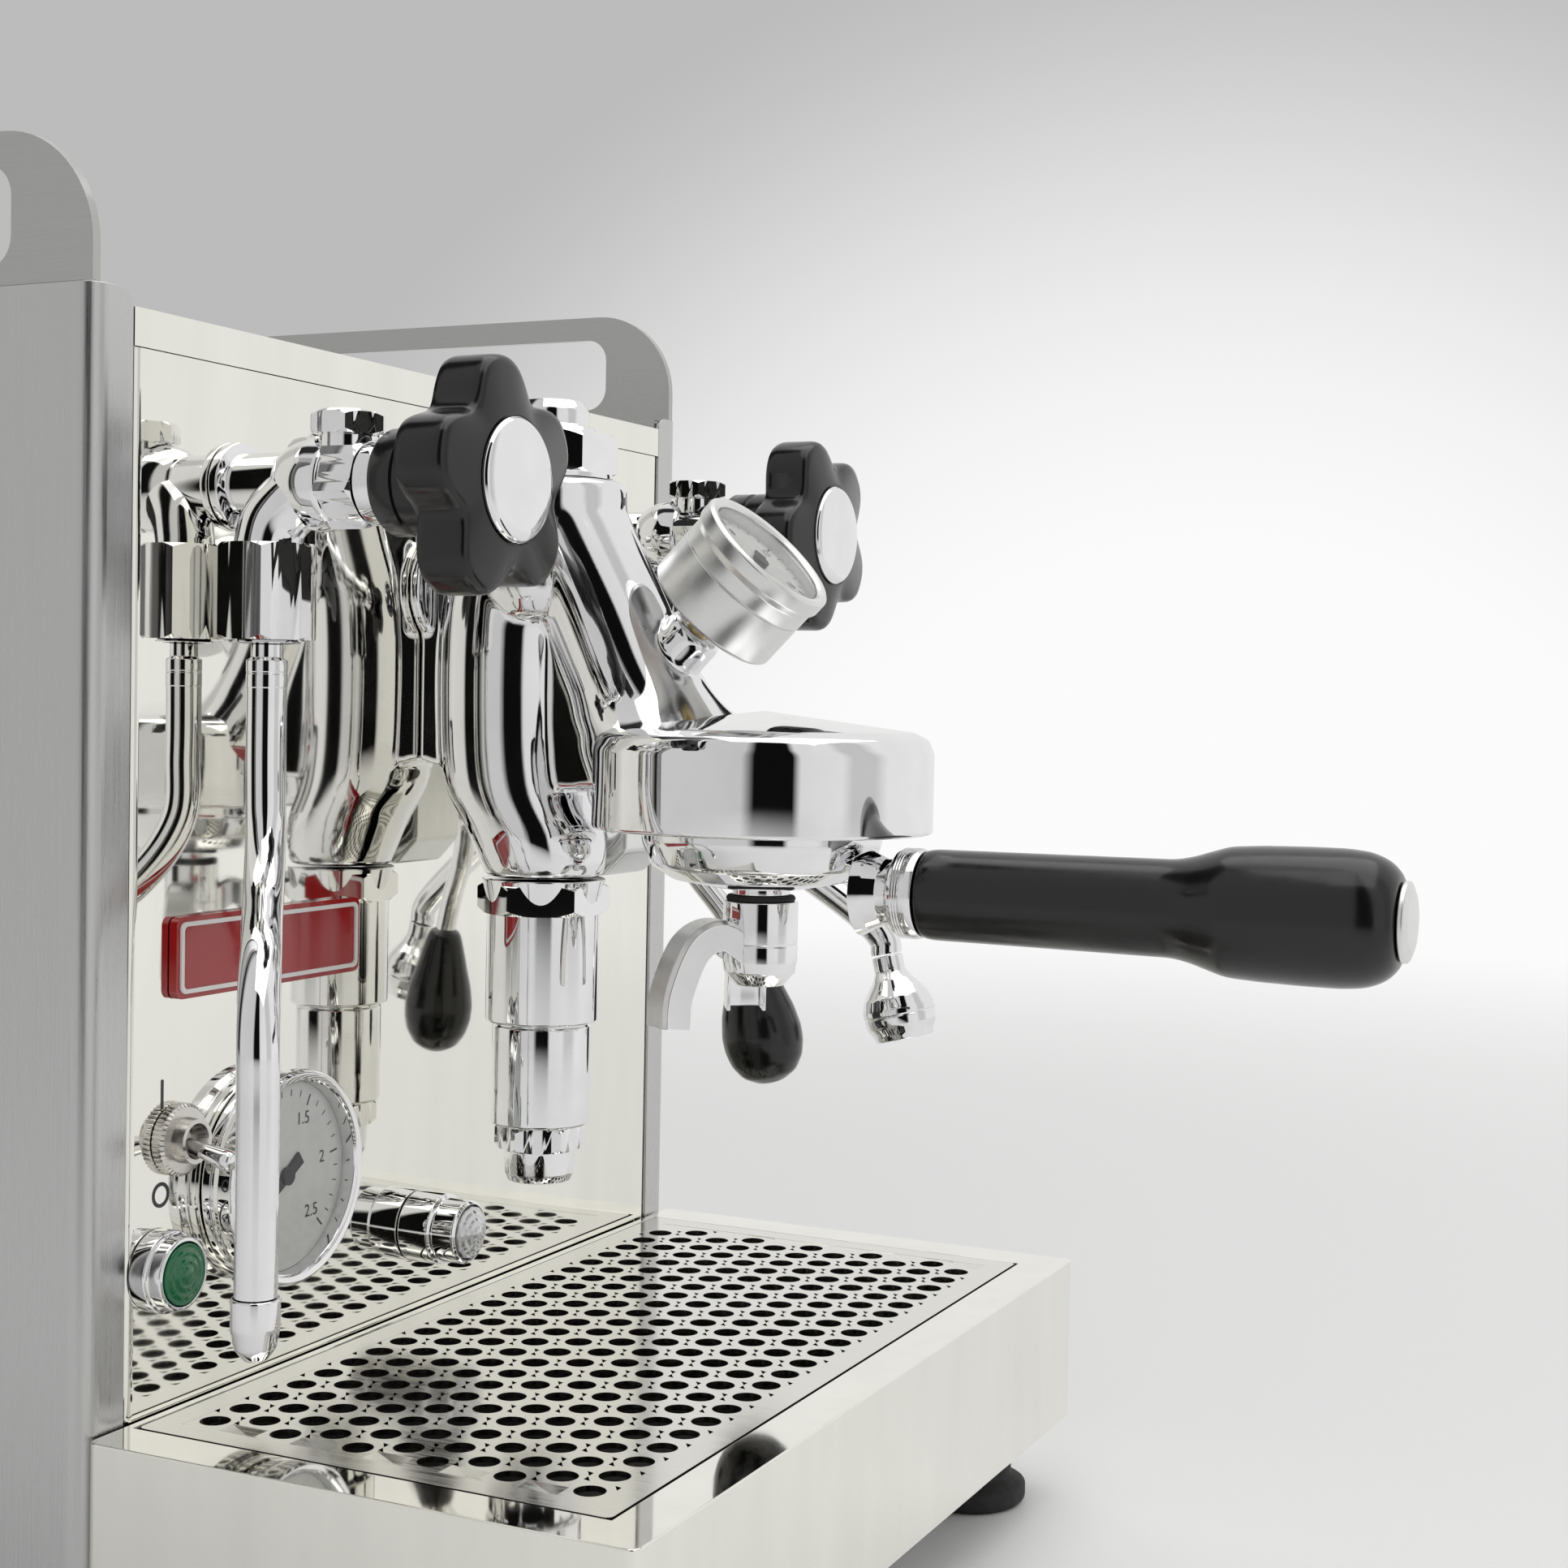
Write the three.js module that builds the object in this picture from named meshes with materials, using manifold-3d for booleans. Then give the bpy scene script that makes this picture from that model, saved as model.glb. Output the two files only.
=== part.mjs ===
// Single-group heat-exchanger espresso machine with a lever-operated group, two rotary taps,
// a locked-in portafilter, a sliding drip tray and a plain steel casing.
// Millimetres. +X is to the right of someone facing the machine, +Y to its back, +Z up.
// Heights are measured from the counter. Depths are measured from the front plate's face.

import * as THREE from 'three';
import { mergeVertices } from 'three/addons/utils/BufferGeometryUtils.js';
import Module from 'manifold-3d';

const wasm = await Module();
wasm.setup();

// ---------------------------------------------------------------- driving dimensions

const GAP = 0.3;                  // clearance between neighbouring pieces
const SHEET = 1.5;                // casing sheet thickness
const SLIVER = 0.004;             // edges shorter than this are merged away
const HOLE_PLAY = 0.7;            // play round whatever passes through the front plate

const BODY_WIDTH = 315;
const BODY_DEPTH = 284;           // front plate face to rear panel face
const FOOT_HEIGHT = 22;
const DECK_Z = 370.7;             // cup tray surface
const PANEL_TOP_Z = 375;          // upper edge of the side panels
const RAIL_TOP_Z = 414.7;
const FLANGE_WIDTH = 15.4;        // front and rear return of each side panel
const CORNER_R = 6;
const STRIP_HEIGHT = 10;          // front lip of the cup tray

const TRAY_TOP_Z = 80;
const TRAY_FRONT_Y = -161.2;
const TRAY_RIM = 15;

const GROUP_Y = -39.5;            // axis of the group's valve column
const BELL_Y = -113.5;            // axis of the bell, portafilter and spout
const BELL_R = 50;
const BELL_RIM_Z = 234.5;
const GROUP_TOP_Z = 338;
const UNLOCK_TURN = 45;           // turn of the portafilter between locked and free
const HUB_Z = 236;                // axis of the brew lever's cam shaft

const TAP_X = 100.8;              // taps stand at plus and minus this
const TAP_Z = 328;
const NUT_X = 105.8;              // swivel nut under each tap
const NUT_Y = -15.3;

const HANDLE_Z = 218.5;
const HANDLE_END_Y = -302;

const GAUGE_X = -84;              // boiler pressure gauge
const GAUGE_Z = 136;
const SWITCH_X = -123.5;
const SWITCH_Z = 152.4;
const POWER_LAMP = [-130.5, 118.5];
const HEATING_LAMP = [-8, 106.2];

const INLET_FLANGE = 2.3;         // the mains inlet's flange stands this far behind the rear panel

// The whole machine is moved so that its bounding box is centred over the origin.
const CENTRE_SHIFT = -(HANDLE_END_Y + BODY_DEPTH + INLET_FLANGE) / 2;

// ---------------------------------------------------------------- materials

const finish = (color, roughness, metalness) =>
  new THREE.MeshStandardMaterial({ color, roughness, metalness });

const brushedSteel = finish(0xb4b4b2, 0.42, 1);
const mirrorSteel = finish(0xe6e6de, 0.06, 1);
const chrome = finish(0xf0f0f0, 0.04, 1);
const satinSteel = finish(0xbcb8ae, 0.3, 1);
const brass = finish(0xc8a858, 0.3, 1);
const copper = finish(0xc07848, 0.35, 1);
const blackPlastic = finish(0x121212, 0.3, 0);
const blackRubber = finish(0x1a1a1a, 0.8, 0);
const redEnamel = finish(0xa01c1a, 0.2, 0);
const needleBlack = finish(0x161616, 0.5, 0);
const clearGlass = finish(0xe8f0f0, 0.02, 0);
const greenLens = finish(0x0e7a3c, 0.1, 0);
const tankPlastic = finish(0xdfe6e8, 0.25, 0);
const insulation = finish(0x8c8c88, 0.8, 0);

// ---------------------------------------------------------------- solid helpers

// A closed three.js geometry as a manifold solid with outward faces.
function solid(geometry) {
  const bare = geometry.clone();
  bare.deleteAttribute('normal');
  bare.deleteAttribute('uv');
  const merged = mergeVertices(bare, 1e-4);
  const index = merged.index.array;
  const triangles = [];
  for (let i = 0; i < index.length; i += 3) {
    const [a, b, c] = [index[i], index[i + 1], index[i + 2]];
    if (a !== b && b !== c && c !== a) triangles.push(a, b, c);
  }
  const vertProperties = new Float32Array(merged.attributes.position.array);
  const build = (list) =>
    new wasm.Manifold(new wasm.Mesh({ numProp: 3, vertProperties, triVerts: new Uint32Array(list) }));
  const first = build(triangles);
  if (first.volume() > 0) return first;
  for (let i = 0; i < triangles.length; i += 3) {
    [triangles[i], triangles[i + 1]] = [triangles[i + 1], triangles[i]];
  }
  return build(triangles);
}

function join(first, ...others) {
  return others.reduce((sum, other) => sum.add(other), first);
}

function cut(first, ...others) {
  return others.reduce((rest, other) => rest.subtract(other), first);
}

function geometryOf(manifold) {
  const mesh = manifold.simplify(SLIVER).getMesh();
  const geometry = new THREE.BufferGeometry();
  const step = mesh.numProp;
  const count = mesh.vertProperties.length / step;
  const positions = new Float32Array(count * 3);
  for (let i = 0; i < count; i += 1) {
    for (let k = 0; k < 3; k += 1) positions[3 * i + k] = mesh.vertProperties[step * i + k];
  }
  geometry.setAttribute('position', new THREE.BufferAttribute(positions, 3));
  geometry.setIndex(new THREE.BufferAttribute(new Uint32Array(mesh.triVerts), 1));
  geometry.computeVertexNormals();
  return geometry;
}

// Box from its lower and upper corners.
function block([x0, y0, z0], [x1, y1, z1]) {
  const box = new THREE.BoxGeometry(x1 - x0, y1 - y0, z1 - z0);
  box.translate((x0 + x1) / 2, (y0 + y1) / 2, (z0 + z1) / 2);
  return solid(box);
}

// Turned shape about the Z axis from [radius, height] points that start and end on the axis.
function turned(profile, segments = 16) {
  const points = profile.map(([r, z]) => new THREE.Vector2(r, z));
  const lathe = new THREE.LatheGeometry(points, segments);
  lathe.rotateX(Math.PI / 2);
  return solid(lathe);
}

// Turned ring: its profile closes on itself away from the axis.
function ring(inner, outer, z0, z1, segments = 20) {
  return turned([[inner, z0], [outer, z0], [outer, z1], [inner, z1], [inner, z0]], segments);
}

function rod(radius, z0, z1, segments = 12) {
  return turned([[0, z0], [radius, z0], [radius, z1], [0, z1]], segments);
}

// Hexagonal prism; the size is its corner radius.
function hexagon(cornerRadius, z0, z1, chamfer = 1) {
  const inner = cornerRadius - chamfer;
  return turned(
    [[0, z0], [inner, z0], [cornerRadius, z0 + chamfer], [cornerRadius, z1 - chamfer], [inner, z1], [0, z1]],
    6,
  );
}

const rotations = {
  '-Y': (part) => part.rotate([90, 0, 0]),
  '+Y': (part) => part.rotate([-90, 0, 0]),
  '+X': (part) => part.rotate([0, 90, 0]),
};

// Turn a shape's +Z to the named axis and move it there.
function along(axis, part, position) {
  return rotations[axis](part).translate(position);
}

function outline(points) {
  return new THREE.Shape(points.map(([x, y]) => new THREE.Vector2(x, y)));
}

function roundedRectangle(x0, y0, x1, y1, r) {
  const shape = new THREE.Shape();
  shape.absarc(x1 - r, y0 + r, r, -Math.PI / 2, 0);
  shape.absarc(x1 - r, y1 - r, r, 0, Math.PI / 2);
  shape.absarc(x0 + r, y1 - r, r, Math.PI / 2, Math.PI);
  shape.absarc(x0 + r, y0 + r, r, Math.PI, 1.5 * Math.PI);
  return shape;
}

// Extrusion of an XY outline from z0 to z1.
function prism(shape, z0, z1, curveSegments = 5) {
  const extruded = new THREE.ExtrudeGeometry(shape, { depth: z1 - z0, bevelEnabled: false, curveSegments });
  extruded.translate(0, 0, z0);
  return solid(extruded);
}

// Extrusion of a YZ outline from x0 to x1.
function sidePrism(shape, x0, x1, curveSegments = 5) {
  return prism(shape, x0, x1, curveSegments).rotate([90, 0, 90]);
}

// Round bar through a smooth curve.
function sweep(points, radius, { steps = 16, sides = 10 } = {}) {
  const path = new THREE.CatmullRomCurve3(points.map((p) => new THREE.Vector3(...p)), false, 'centripetal');
  const circle = new THREE.Path().absarc(0, 0, radius, 0, 2 * Math.PI);
  const section = new THREE.Shape(circle.getPoints(sides).slice(0, sides));
  return solid(new THREE.ExtrudeGeometry(section, { steps, extrudePath: path, bevelEnabled: false }));
}

const machine = new THREE.Group();
machine.position.y = CENTRE_SHIFT;

function add(name, material, manifold) {
  const mesh = new THREE.Mesh(geometryOf(manifold), material);
  mesh.name = name;
  machine.add(mesh);
}

// ---------------------------------------------------------------- casing

const HALF = BODY_WIDTH / 2;
const PLATE_HALF = HALF - FLANGE_WIDTH;      // half width of the opening between the flanges
const PANEL_BASE_Z = FOOT_HEIGHT + 4;
const PAN_THICKNESS = 2;

// One side panel: a sheet with a rounded return along its front and rear edges.
function sidePanel(side) {
  const outer = roundedRectangle(-FLANGE_WIDTH, 0, HALF, BODY_DEPTH, CORNER_R);
  const innerR = CORNER_R - SHEET;
  const inner = roundedRectangle(-FLANGE_WIDTH, SHEET, HALF - SHEET, BODY_DEPTH - SHEET, innerR);
  const wrap = cut(prism(outer, PANEL_BASE_Z, PANEL_TOP_Z), prism(inner, PANEL_BASE_Z - 1, PANEL_TOP_Z + 1));
  const keep = block([PLATE_HALF, -1, 0], [HALF + 1, BODY_DEPTH + 1, PANEL_TOP_Z + 1]);
  const shoulder = cornerTrim();
  const panel = cut(wrap.intersect(keep), shoulder);
  return side < 0 ? panel.mirror([1, 0, 0]) : panel;
}

// Removes the sharp inner top corner of the front and rear returns.
function cornerTrim() {
  const drop = PANEL_TOP_Z - DECK_Z;
  const square = block(
    [PLATE_HALF - 1, -1, PANEL_TOP_Z - drop],
    [PLATE_HALF + drop, BODY_DEPTH + 1, PANEL_TOP_Z + 1],
  );
  const round = along('+Y', rod(drop, -2, BODY_DEPTH + 2, 12), [PLATE_HALF + drop, 0, PANEL_TOP_Z - drop]);
  return cut(square, round);
}

// Floor pan: carries the feet, the side panels and, ahead of the plate, the drip tray.
function baseFrame() {
  const inside = HALF - SHEET - GAP;
  const z0 = FOOT_HEIGHT + GAP;
  const z1 = z0 + PAN_THICKNESS;
  const floor = block([-inside, SHEET + GAP, z0], [inside, BODY_DEPTH - SHEET - GAP, z1]);
  const shelf = block([-inside + 4, TRAY_FRONT_Y + 8, z0], [inside - 4, SHEET + GAP + 1, z1]);
  const start = CORNER_R + GAP;
  const upstand = (x) => block([x, start, z0], [x + PAN_THICKNESS, BODY_DEPTH - start, z1 + 16]);
  const rearWall = block([-inside + start, BODY_DEPTH - 5, z0], [inside - start, BODY_DEPTH - 3, z1 + 10]);
  return join(floor, shelf, upstand(-inside), upstand(inside - PAN_THICKNESS), rearWall);
}

// Polished plate between the flanges, with folded edges and openings for what passes through.
function frontPanel() {
  const half = PLATE_HALF - GAP;
  const top = DECK_Z - STRIP_HEIGHT - GAP;
  const bottom = TRAY_TOP_Z - 12;
  const sheet = block([-half, 0, bottom], [half, SHEET, top]);
  const fold = (x) => block([x, SHEET / 2, bottom], [x + SHEET, 14, top]);
  const opening = (x, z, r) => along('+Y', rod(r + HOLE_PLAY, -2, 4, 14), [x, 0, z]);
  return cut(
    join(sheet, fold(-half), fold(half - SHEET)),
    opening(-TAP_X, TAP_Z, 9),
    opening(TAP_X, TAP_Z, 9),
    opening(0, 305, 18),
    opening(GAUGE_X, GAUGE_Z, 9),
    opening(SWITCH_X, SWITCH_Z, 6),
    opening(POWER_LAMP[0], POWER_LAMP[1], 8),
    opening(HEATING_LAMP[0], HEATING_LAMP[1], 8),
  );
}

// Rear sheet with rows of louvre slots and a cut-out for the mains inlet.
function rearPanel() {
  const half = PLATE_HALF - GAP;
  const y1 = BODY_DEPTH;
  const y0 = y1 - SHEET;
  const sheet = block([-half, y0, PANEL_BASE_Z], [half, y1, DECK_Z - 4]);
  const slots = [];
  for (let row = 0; row < 6; row += 1) {
    for (const x of [-70, 0, 70]) {
      const z = 200 + row * 20;
      slots.push(block([x - 25, y0 - 1, z], [x + 25, y1 + 1, z + 5]));
    }
  }
  const inlet = block([INLET_X - 14, y0 - 1, INLET_Z - 10], [INLET_X + 14, y1 + 1, INLET_Z + 10]);
  return cut(sheet, ...slots, inlet);
}

const LID_HALF_X = 92;
const LID_FRONT_Y = 186;
const LID_BACK_Y = 266;

// Deck that warms cups: slotted sheet with a front lip, side lips and the tank opening.
function cupTray() {
  const half = HALF - SHEET - GAP - 3 - 2 * GAP;
  const back = BODY_DEPTH - SHEET - 3 - 3 * GAP;
  const deck = block([-half, SHEET + GAP, DECK_Z - 2], [half, back, DECK_Z]);
  const lipHalf = PLATE_HALF - GAP;
  const lip = block([-lipHalf, 0, DECK_Z - STRIP_HEIGHT], [lipHalf, SHEET, DECK_Z]);
  const bridge = block([-lipHalf, SHEET / 2, DECK_Z - 2], [lipHalf, 4, DECK_Z]);
  const rolled = along('+X', rod(1.6, -lipHalf, lipHalf, 10), [0, 1.6, DECK_Z - STRIP_HEIGHT + 1.6]);
  const skirt = (x) => block([x, 4, DECK_Z - 18], [x + SHEET, back, DECK_Z - 1]);
  const opening = block([-LID_HALF_X, LID_FRONT_Y, 0], [LID_HALF_X, LID_BACK_Y, DECK_Z + 1]);
  const ledge = block(
    [-LID_HALF_X - 4, LID_FRONT_Y - 4, DECK_Z - 5],
    [LID_HALF_X + 4, LID_BACK_Y + 4, DECK_Z - 1],
  );
  const ledgeHole = block(
    [-LID_HALF_X + 4, LID_FRONT_Y + 4, 0],
    [LID_HALF_X - 4, LID_BACK_Y - 4, DECK_Z + 1],
  );
  const lidSeat = block([-LID_HALF_X, LID_FRONT_Y, DECK_Z - 3], [LID_HALF_X, LID_BACK_Y, DECK_Z]);
  const slots = [];
  for (let row = 0; row < 5; row += 1) {
    for (let column = -2; column <= 2; column += 1) {
      const x = column * 52;
      const y = 36 + row * 29;
      slots.push(block([x - 18, y, 0], [x + 18, y + 6, DECK_Z + 1]));
    }
  }
  const plate = cut(join(deck, lip, bridge, rolled, skirt(-half), skirt(half - SHEET)), opening, ...slots);
  const frame = cut(ledge, ledgeHole, lidSeat);
  return join(plate, frame);
}

// Lid over the tank: drops into the deck's opening, with a hole for a finger.
function tankLid() {
  const sheet = block(
    [-LID_HALF_X + GAP, LID_FRONT_Y + GAP, DECK_Z - 3 + GAP],
    [LID_HALF_X - GAP, LID_BACK_Y - GAP, DECK_Z],
  );
  return cut(sheet, rod(10, 0, DECK_Z + 1, 12).translate([0, LID_FRONT_Y + 22, 0]));
}

// Guard round the cup tray: flat bar bent in a U, with a window in each side and the back.
function cupRail() {
  const bar = 3;
  const half = HALF - SHEET - GAP;
  const front = SHEET + GAP;
  const back = BODY_DEPTH - SHEET - GAP;
  const base = DECK_Z - 12;
  const cornerR = 30;
  const windowR = 8;
  const windowBottom = 380;
  const windowTop = 406.2;
  const leg = 27;
  const step = PANEL_TOP_Z + GAP;
  const inset = CORNER_R;
  const sideShape = new THREE.Shape();
  sideShape.moveTo(front, step);
  sideShape.lineTo(front + inset, step);
  sideShape.lineTo(front + inset, base);
  sideShape.lineTo(back - inset, base);
  sideShape.lineTo(back - inset, step);
  sideShape.lineTo(back, step);
  sideShape.lineTo(back, RAIL_TOP_Z);
  sideShape.absarc(front + cornerR, RAIL_TOP_Z - cornerR, cornerR, Math.PI / 2, Math.PI);
  sideShape.holes.push(roundedRectangle(front + leg, windowBottom, back - leg, windowTop, windowR));
  const side = (x) => sidePrism(sideShape, x, x + bar, 6);
  const rear = cut(
    block([-half, back - bar, step], [half, back, RAIL_TOP_Z]),
    prism(roundedRectangle(-half + leg, windowBottom, half - leg, windowTop, windowR), -back - 5, -back + 10)
      .rotate([90, 0, 0]),
  );
  return join(side(-half), side(half - bar), rear);
}

function foot() {
  return turned([[0, 0], [17, 0], [19, 2], [19, 7], [14, 10], [14, FOOT_HEIGHT], [0, FOOT_HEIGHT]], 16);
}

// Enamelled plate with a raised border.
function badge() {
  const frame = prism(roundedRectangle(-41, -11, 41, 11, 2.5), GAP, 3.5);
  const field = prism(roundedRectangle(-38.5, -8.5, 38.5, 8.5, 1.5), 2.7, 5);
  return along('-Y', cut(frame, field), [-85.4, 0, 201]);
}

// ---------------------------------------------------------------- drip tray and grate

// Full-width drawer with a flat rim that holds the grate.
function dripTray() {
  const back = -1;
  const floor = FOOT_HEIGHT + PAN_THICKNESS + 1.5;
  const wall = SHEET;
  const shell = cut(
    prism(roundedRectangle(-HALF, TRAY_FRONT_Y, HALF, back, 3), floor, TRAY_TOP_Z),
    block([-HALF + wall, TRAY_FRONT_Y + wall, floor + wall], [HALF - wall, back - wall, TRAY_TOP_Z - wall]),
    block(
      [-HALF + TRAY_RIM, TRAY_FRONT_Y + TRAY_RIM, floor + wall],
      [HALF - TRAY_RIM, back - 3, TRAY_TOP_Z + 1],
    ),
  );
  const seatLow = TRAY_TOP_Z - 6;
  const seatOuter = block(
    [-HALF + TRAY_RIM - wall, TRAY_FRONT_Y + TRAY_RIM - wall, seatLow],
    [HALF - TRAY_RIM + wall, back - wall / 2, TRAY_TOP_Z - wall / 2],
  );
  const seatHole = block(
    [-HALF + TRAY_RIM, TRAY_FRONT_Y + TRAY_RIM, seatLow + wall],
    [HALF - TRAY_RIM, back - 3, TRAY_TOP_Z + 1],
  );
  const seatOpening = block(
    [-HALF + TRAY_RIM + 6, TRAY_FRONT_Y + TRAY_RIM + 6, 0],
    [HALF - TRAY_RIM - 6, back - 9, TRAY_TOP_Z],
  );
  return join(shell, cut(seatOuter, seatHole, seatOpening));
}

// Perforated cover with folded edges that rest on the tray's ledge.
function dripGrate() {
  const x = HALF - TRAY_RIM - 2 * GAP;
  const y0 = TRAY_FRONT_Y + TRAY_RIM + 2 * GAP;
  const y1 = -4 - 2 * GAP;
  const sheetLow = TRAY_TOP_Z - 1.5;
  const foldLow = TRAY_TOP_Z - 6 + SHEET + GAP;
  const sheet = block([-x, y0, sheetLow], [x, y1, TRAY_TOP_Z]);
  const fold = cut(
    block([-x, y0, foldLow], [x, y1, sheetLow + 0.5]),
    block([-x + SHEET, y0 + SHEET, 0], [x - SHEET, y1 - SHEET, TRAY_TOP_Z + 1]),
  );
  const pitch = 28;
  const holes = [];
  for (let row = 0; row < 5; row += 1) {
    const shift = (row % 2) * pitch / 2;
    for (let column = -4; column <= 4; column += 1) {
      const hx = column * pitch + shift;
      const hy = y0 + 18 + row * pitch * 0.8;
      if (Math.abs(hx) > x - 14) continue;
      holes.push(rod(9, TRAY_TOP_Z - 10, TRAY_TOP_Z + 1, 6).translate([hx, hy, 0]));
    }
  }
  return cut(join(sheet, fold), ...holes);
}

// ---------------------------------------------------------------- brew group

const COLUMN_HALF_X = 17;
const COLUMN_BACK_Y = -5;
const COLUMN_FRONT_Y = -48.5;
const SADDLE_Z = 252;             // below this the casting stands clear of the plate

// Side profile of the casting between the plate, the column and the bell.
function groupProfile() {
  const shape = new THREE.Shape();
  shape.moveTo(-GAP, SADDLE_Z);
  shape.lineTo(-GAP, 325);
  shape.quadraticCurveTo(-GAP, GROUP_TOP_Z - 4, -16, GROUP_TOP_Z - 4);
  shape.lineTo(-57, GROUP_TOP_Z - 4);
  shape.quadraticCurveTo(-62, 333, -66, 326);
  shape.lineTo(-86, 288);
  shape.quadraticCurveTo(-91, 277, -104, 266);
  shape.lineTo(-104, 240);
  shape.lineTo(COLUMN_FRONT_Y - 8, 243);
  shape.quadraticCurveTo(COLUMN_FRONT_Y, 241, COLUMN_FRONT_Y, 234);
  shape.lineTo(COLUMN_FRONT_Y, 224);
  shape.lineTo(COLUMN_BACK_Y, 224);
  shape.lineTo(COLUMN_BACK_Y, SADDLE_Z);
  return shape;
}

// Open-bottomed bell with the channel and the two entry notches for the portafilter's lugs.
function bell() {
  const shell = turned([
    [0, 255], [33, 255], [33, 247], [43, 247], [43, 238.5], [37.5, 238.5], [37.5, BELL_RIM_Z],
    [BELL_R, BELL_RIM_Z], [BELL_R, 258], [BELL_R - 1.8, 262], [BELL_R - 6, 264], [0, 269.5],
  ], 16);
  const notch = block([-43, -9, BELL_RIM_Z - 1], [43, 9, 246]).rotate([0, 0, -UNLOCK_TURN]);
  const core = rod(37, BELL_RIM_Z - 2, 247, 28);
  return cut(shell, notch, core).translate([0, BELL_Y, 0]);
}

// Gauge boss: a curved tube that stands on the bell and lies along the casting's slope.
function noseTube() {
  return sweep([[0, -97, 258], [0, -88, 279], [0, -76, 302], [0, -64, 325]], 8.5, { steps: 8 });
}

// Port in the nose tube that takes the gauge's stem.
function gaugePort() {
  return onNose(rod(4.3 + GAP + 0.2, -16, 20, 14));
}

function groupBody() {
  const casting = sidePrism(groupProfile(), -COLUMN_HALF_X, COLUMN_HALF_X, 6);
  const topChamber = turned([
    [0, 296], [20, 296], [23.5, 304], [23.5, GROUP_TOP_Z - 2], [21.5, GROUP_TOP_Z], [0, GROUP_TOP_Z],
  ]).translate([0, GROUP_Y, 0]);
  const taper = turned([[0, 217], [19, 217], [19, 219.5], [22, 226], [22, 240], [0, 240]])
    .translate([0, GROUP_Y, 0])
    .intersect(block([-COLUMN_HALF_X - 4, COLUMN_FRONT_Y - 10, 0], [COLUMN_HALF_X + 4, COLUMN_BACK_Y, 400]));
  const column = turned([[0, 226], [19.5, 226], [19.5, 300], [0, 300]]).translate([0, -28.5, 0]);
  const mounting = along('+Y', rod(18, -4, 12), [0, 0, 305]);
  const returnPipe = along('-Y', rod(7, 1, 8, 14), [0, 0, 243]);
  const hubSeat = along('+X', rod(15, 10, 24), [0, GROUP_Y, HUB_Z]);
  const whole = join(casting, topChamber, taper, column, mounting, returnPipe, hubSeat, noseTube());
  const hollow = rod(BELL_R - 3, 200, 255, 28).translate([0, BELL_Y, 0]);
  return join(cut(whole, hollow, gaugePort()), bell());
}

function groupTopNut() {
  return turned([
    [0, GROUP_TOP_Z + GAP], [19, GROUP_TOP_Z + GAP], [19, 339.5], [0, 339.5],
  ]).add(hexagon(20.5, 339.2, 352)).add(
    turned([[0, 351], [15, 351], [13, 354], [11.5, 354.5], [11.5, 359], [9.5, 362], [0, 362.5]]),
  ).translate([0, GROUP_Y, 0]);
}

// Hex collar and the two polished sleeves of the pre-infusion chamber.
function preinfusionChamber() {
  return turned([
    [0, 141.2], [14.6, 141.2], [15.05, 141.8], [15.05, 171.6], [14.6, 172.2],
    [16.8, 172.2], [17.25, 172.8], [17.25, 208], [19, 216.7], [0, 216.7],
  ]).add(hexagon(20.3, 206.5, 215)).translate([0, GROUP_Y, 0]);
}

function dischargeNut() {
  return hexagon(13.95, 133.5, 140.9, 0.8)
    .add(turned([[0, 123.7], [9.6, 123.7], [10.6, 126], [11, 133], [11, 134], [0, 134]]))
    .translate([0, GROUP_Y, 0]);
}

function groupGasket() {
  return ring(28.5, 32.2, 248, 254.7).translate([0, BELL_Y, 0]);
}

function showerScreen() {
  return turned([[0, 249], [24, 249], [28, 251], [28, 254.7], [0, 254.7]]).translate([0, BELL_Y, 0]);
}

const HUB_HALF_Y = 15;
const HUB_HALF_Z = 20;
const HUB_CHAMFER = 8;

// Cam housing screwed to the right of the column: a block with chamfered lower corners.
function leverHub() {
  const [front, back] = [GROUP_Y - HUB_HALF_Y, GROUP_Y + HUB_HALF_Y];
  const [low, high] = [HUB_Z - HUB_HALF_Z, HUB_Z + HUB_HALF_Z];
  const body = sidePrism(outline([
    [front, low + HUB_CHAMFER], [front + HUB_CHAMFER, low], [back - HUB_CHAMFER, low],
    [back, low + HUB_CHAMFER], [back, high], [front, high],
  ]), 24 + GAP, 52);
  const bore = along('+X', rod(4 + GAP, 40, 60, 12), [0, GROUP_Y, HUB_Z]);
  return cut(body, bore);
}

// Bent lever: cam shaft along X, then down and slightly forward to the knob.
function brewLever() {
  return sweep([
    [42, GROUP_Y, HUB_Z], [58, GROUP_Y, HUB_Z], [72, GROUP_Y, HUB_Z - 1], [82, -41, HUB_Z - 8],
    [87.8, -46, 214], [94.5, -54.5, 200], [98.8, -60.4, 187.5],
  ], 4, { steps: 16, sides: 8 });
}

function brewLeverKnob() {
  const knob = turned([
    [0, 0], [5.5, 0], [6.8, 2], [10.4, 14], [13.8, 28], [13, 36], [9.4, 42.5], [4, 45.3], [0, 46],
  ]);
  const lean = Math.atan2(7, 40) * THREE.MathUtils.RAD2DEG;
  const swing = Math.atan2(4.5, 40) * THREE.MathUtils.RAD2DEG;
  return knob.rotate([180 - lean, -swing, 0]).translate([99.1, -60.9, 186.2]);
}

// ---------------------------------------------------------------- gauges

// Case with a rolled bezel, open at the front. Its dial faces +Z before it is placed.
function gaugeCase(radius, depth, lens) {
  return turned([
    [0, 0], [radius - 2, 0], [radius - 1, 1], [radius - 1, depth - 7], [radius, depth - 5],
    [radius, depth - 1], [radius - 1, depth], [radius - 3.5, depth], [radius - 3.5, depth - 2.5 - lens],
    [0, depth - 2.5 - lens],
  ], 20);
}

function gaugeLens(radius, depth) {
  return rod(radius - 3.5 - GAP, depth - 2, depth - 0.6, 20);
}

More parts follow.
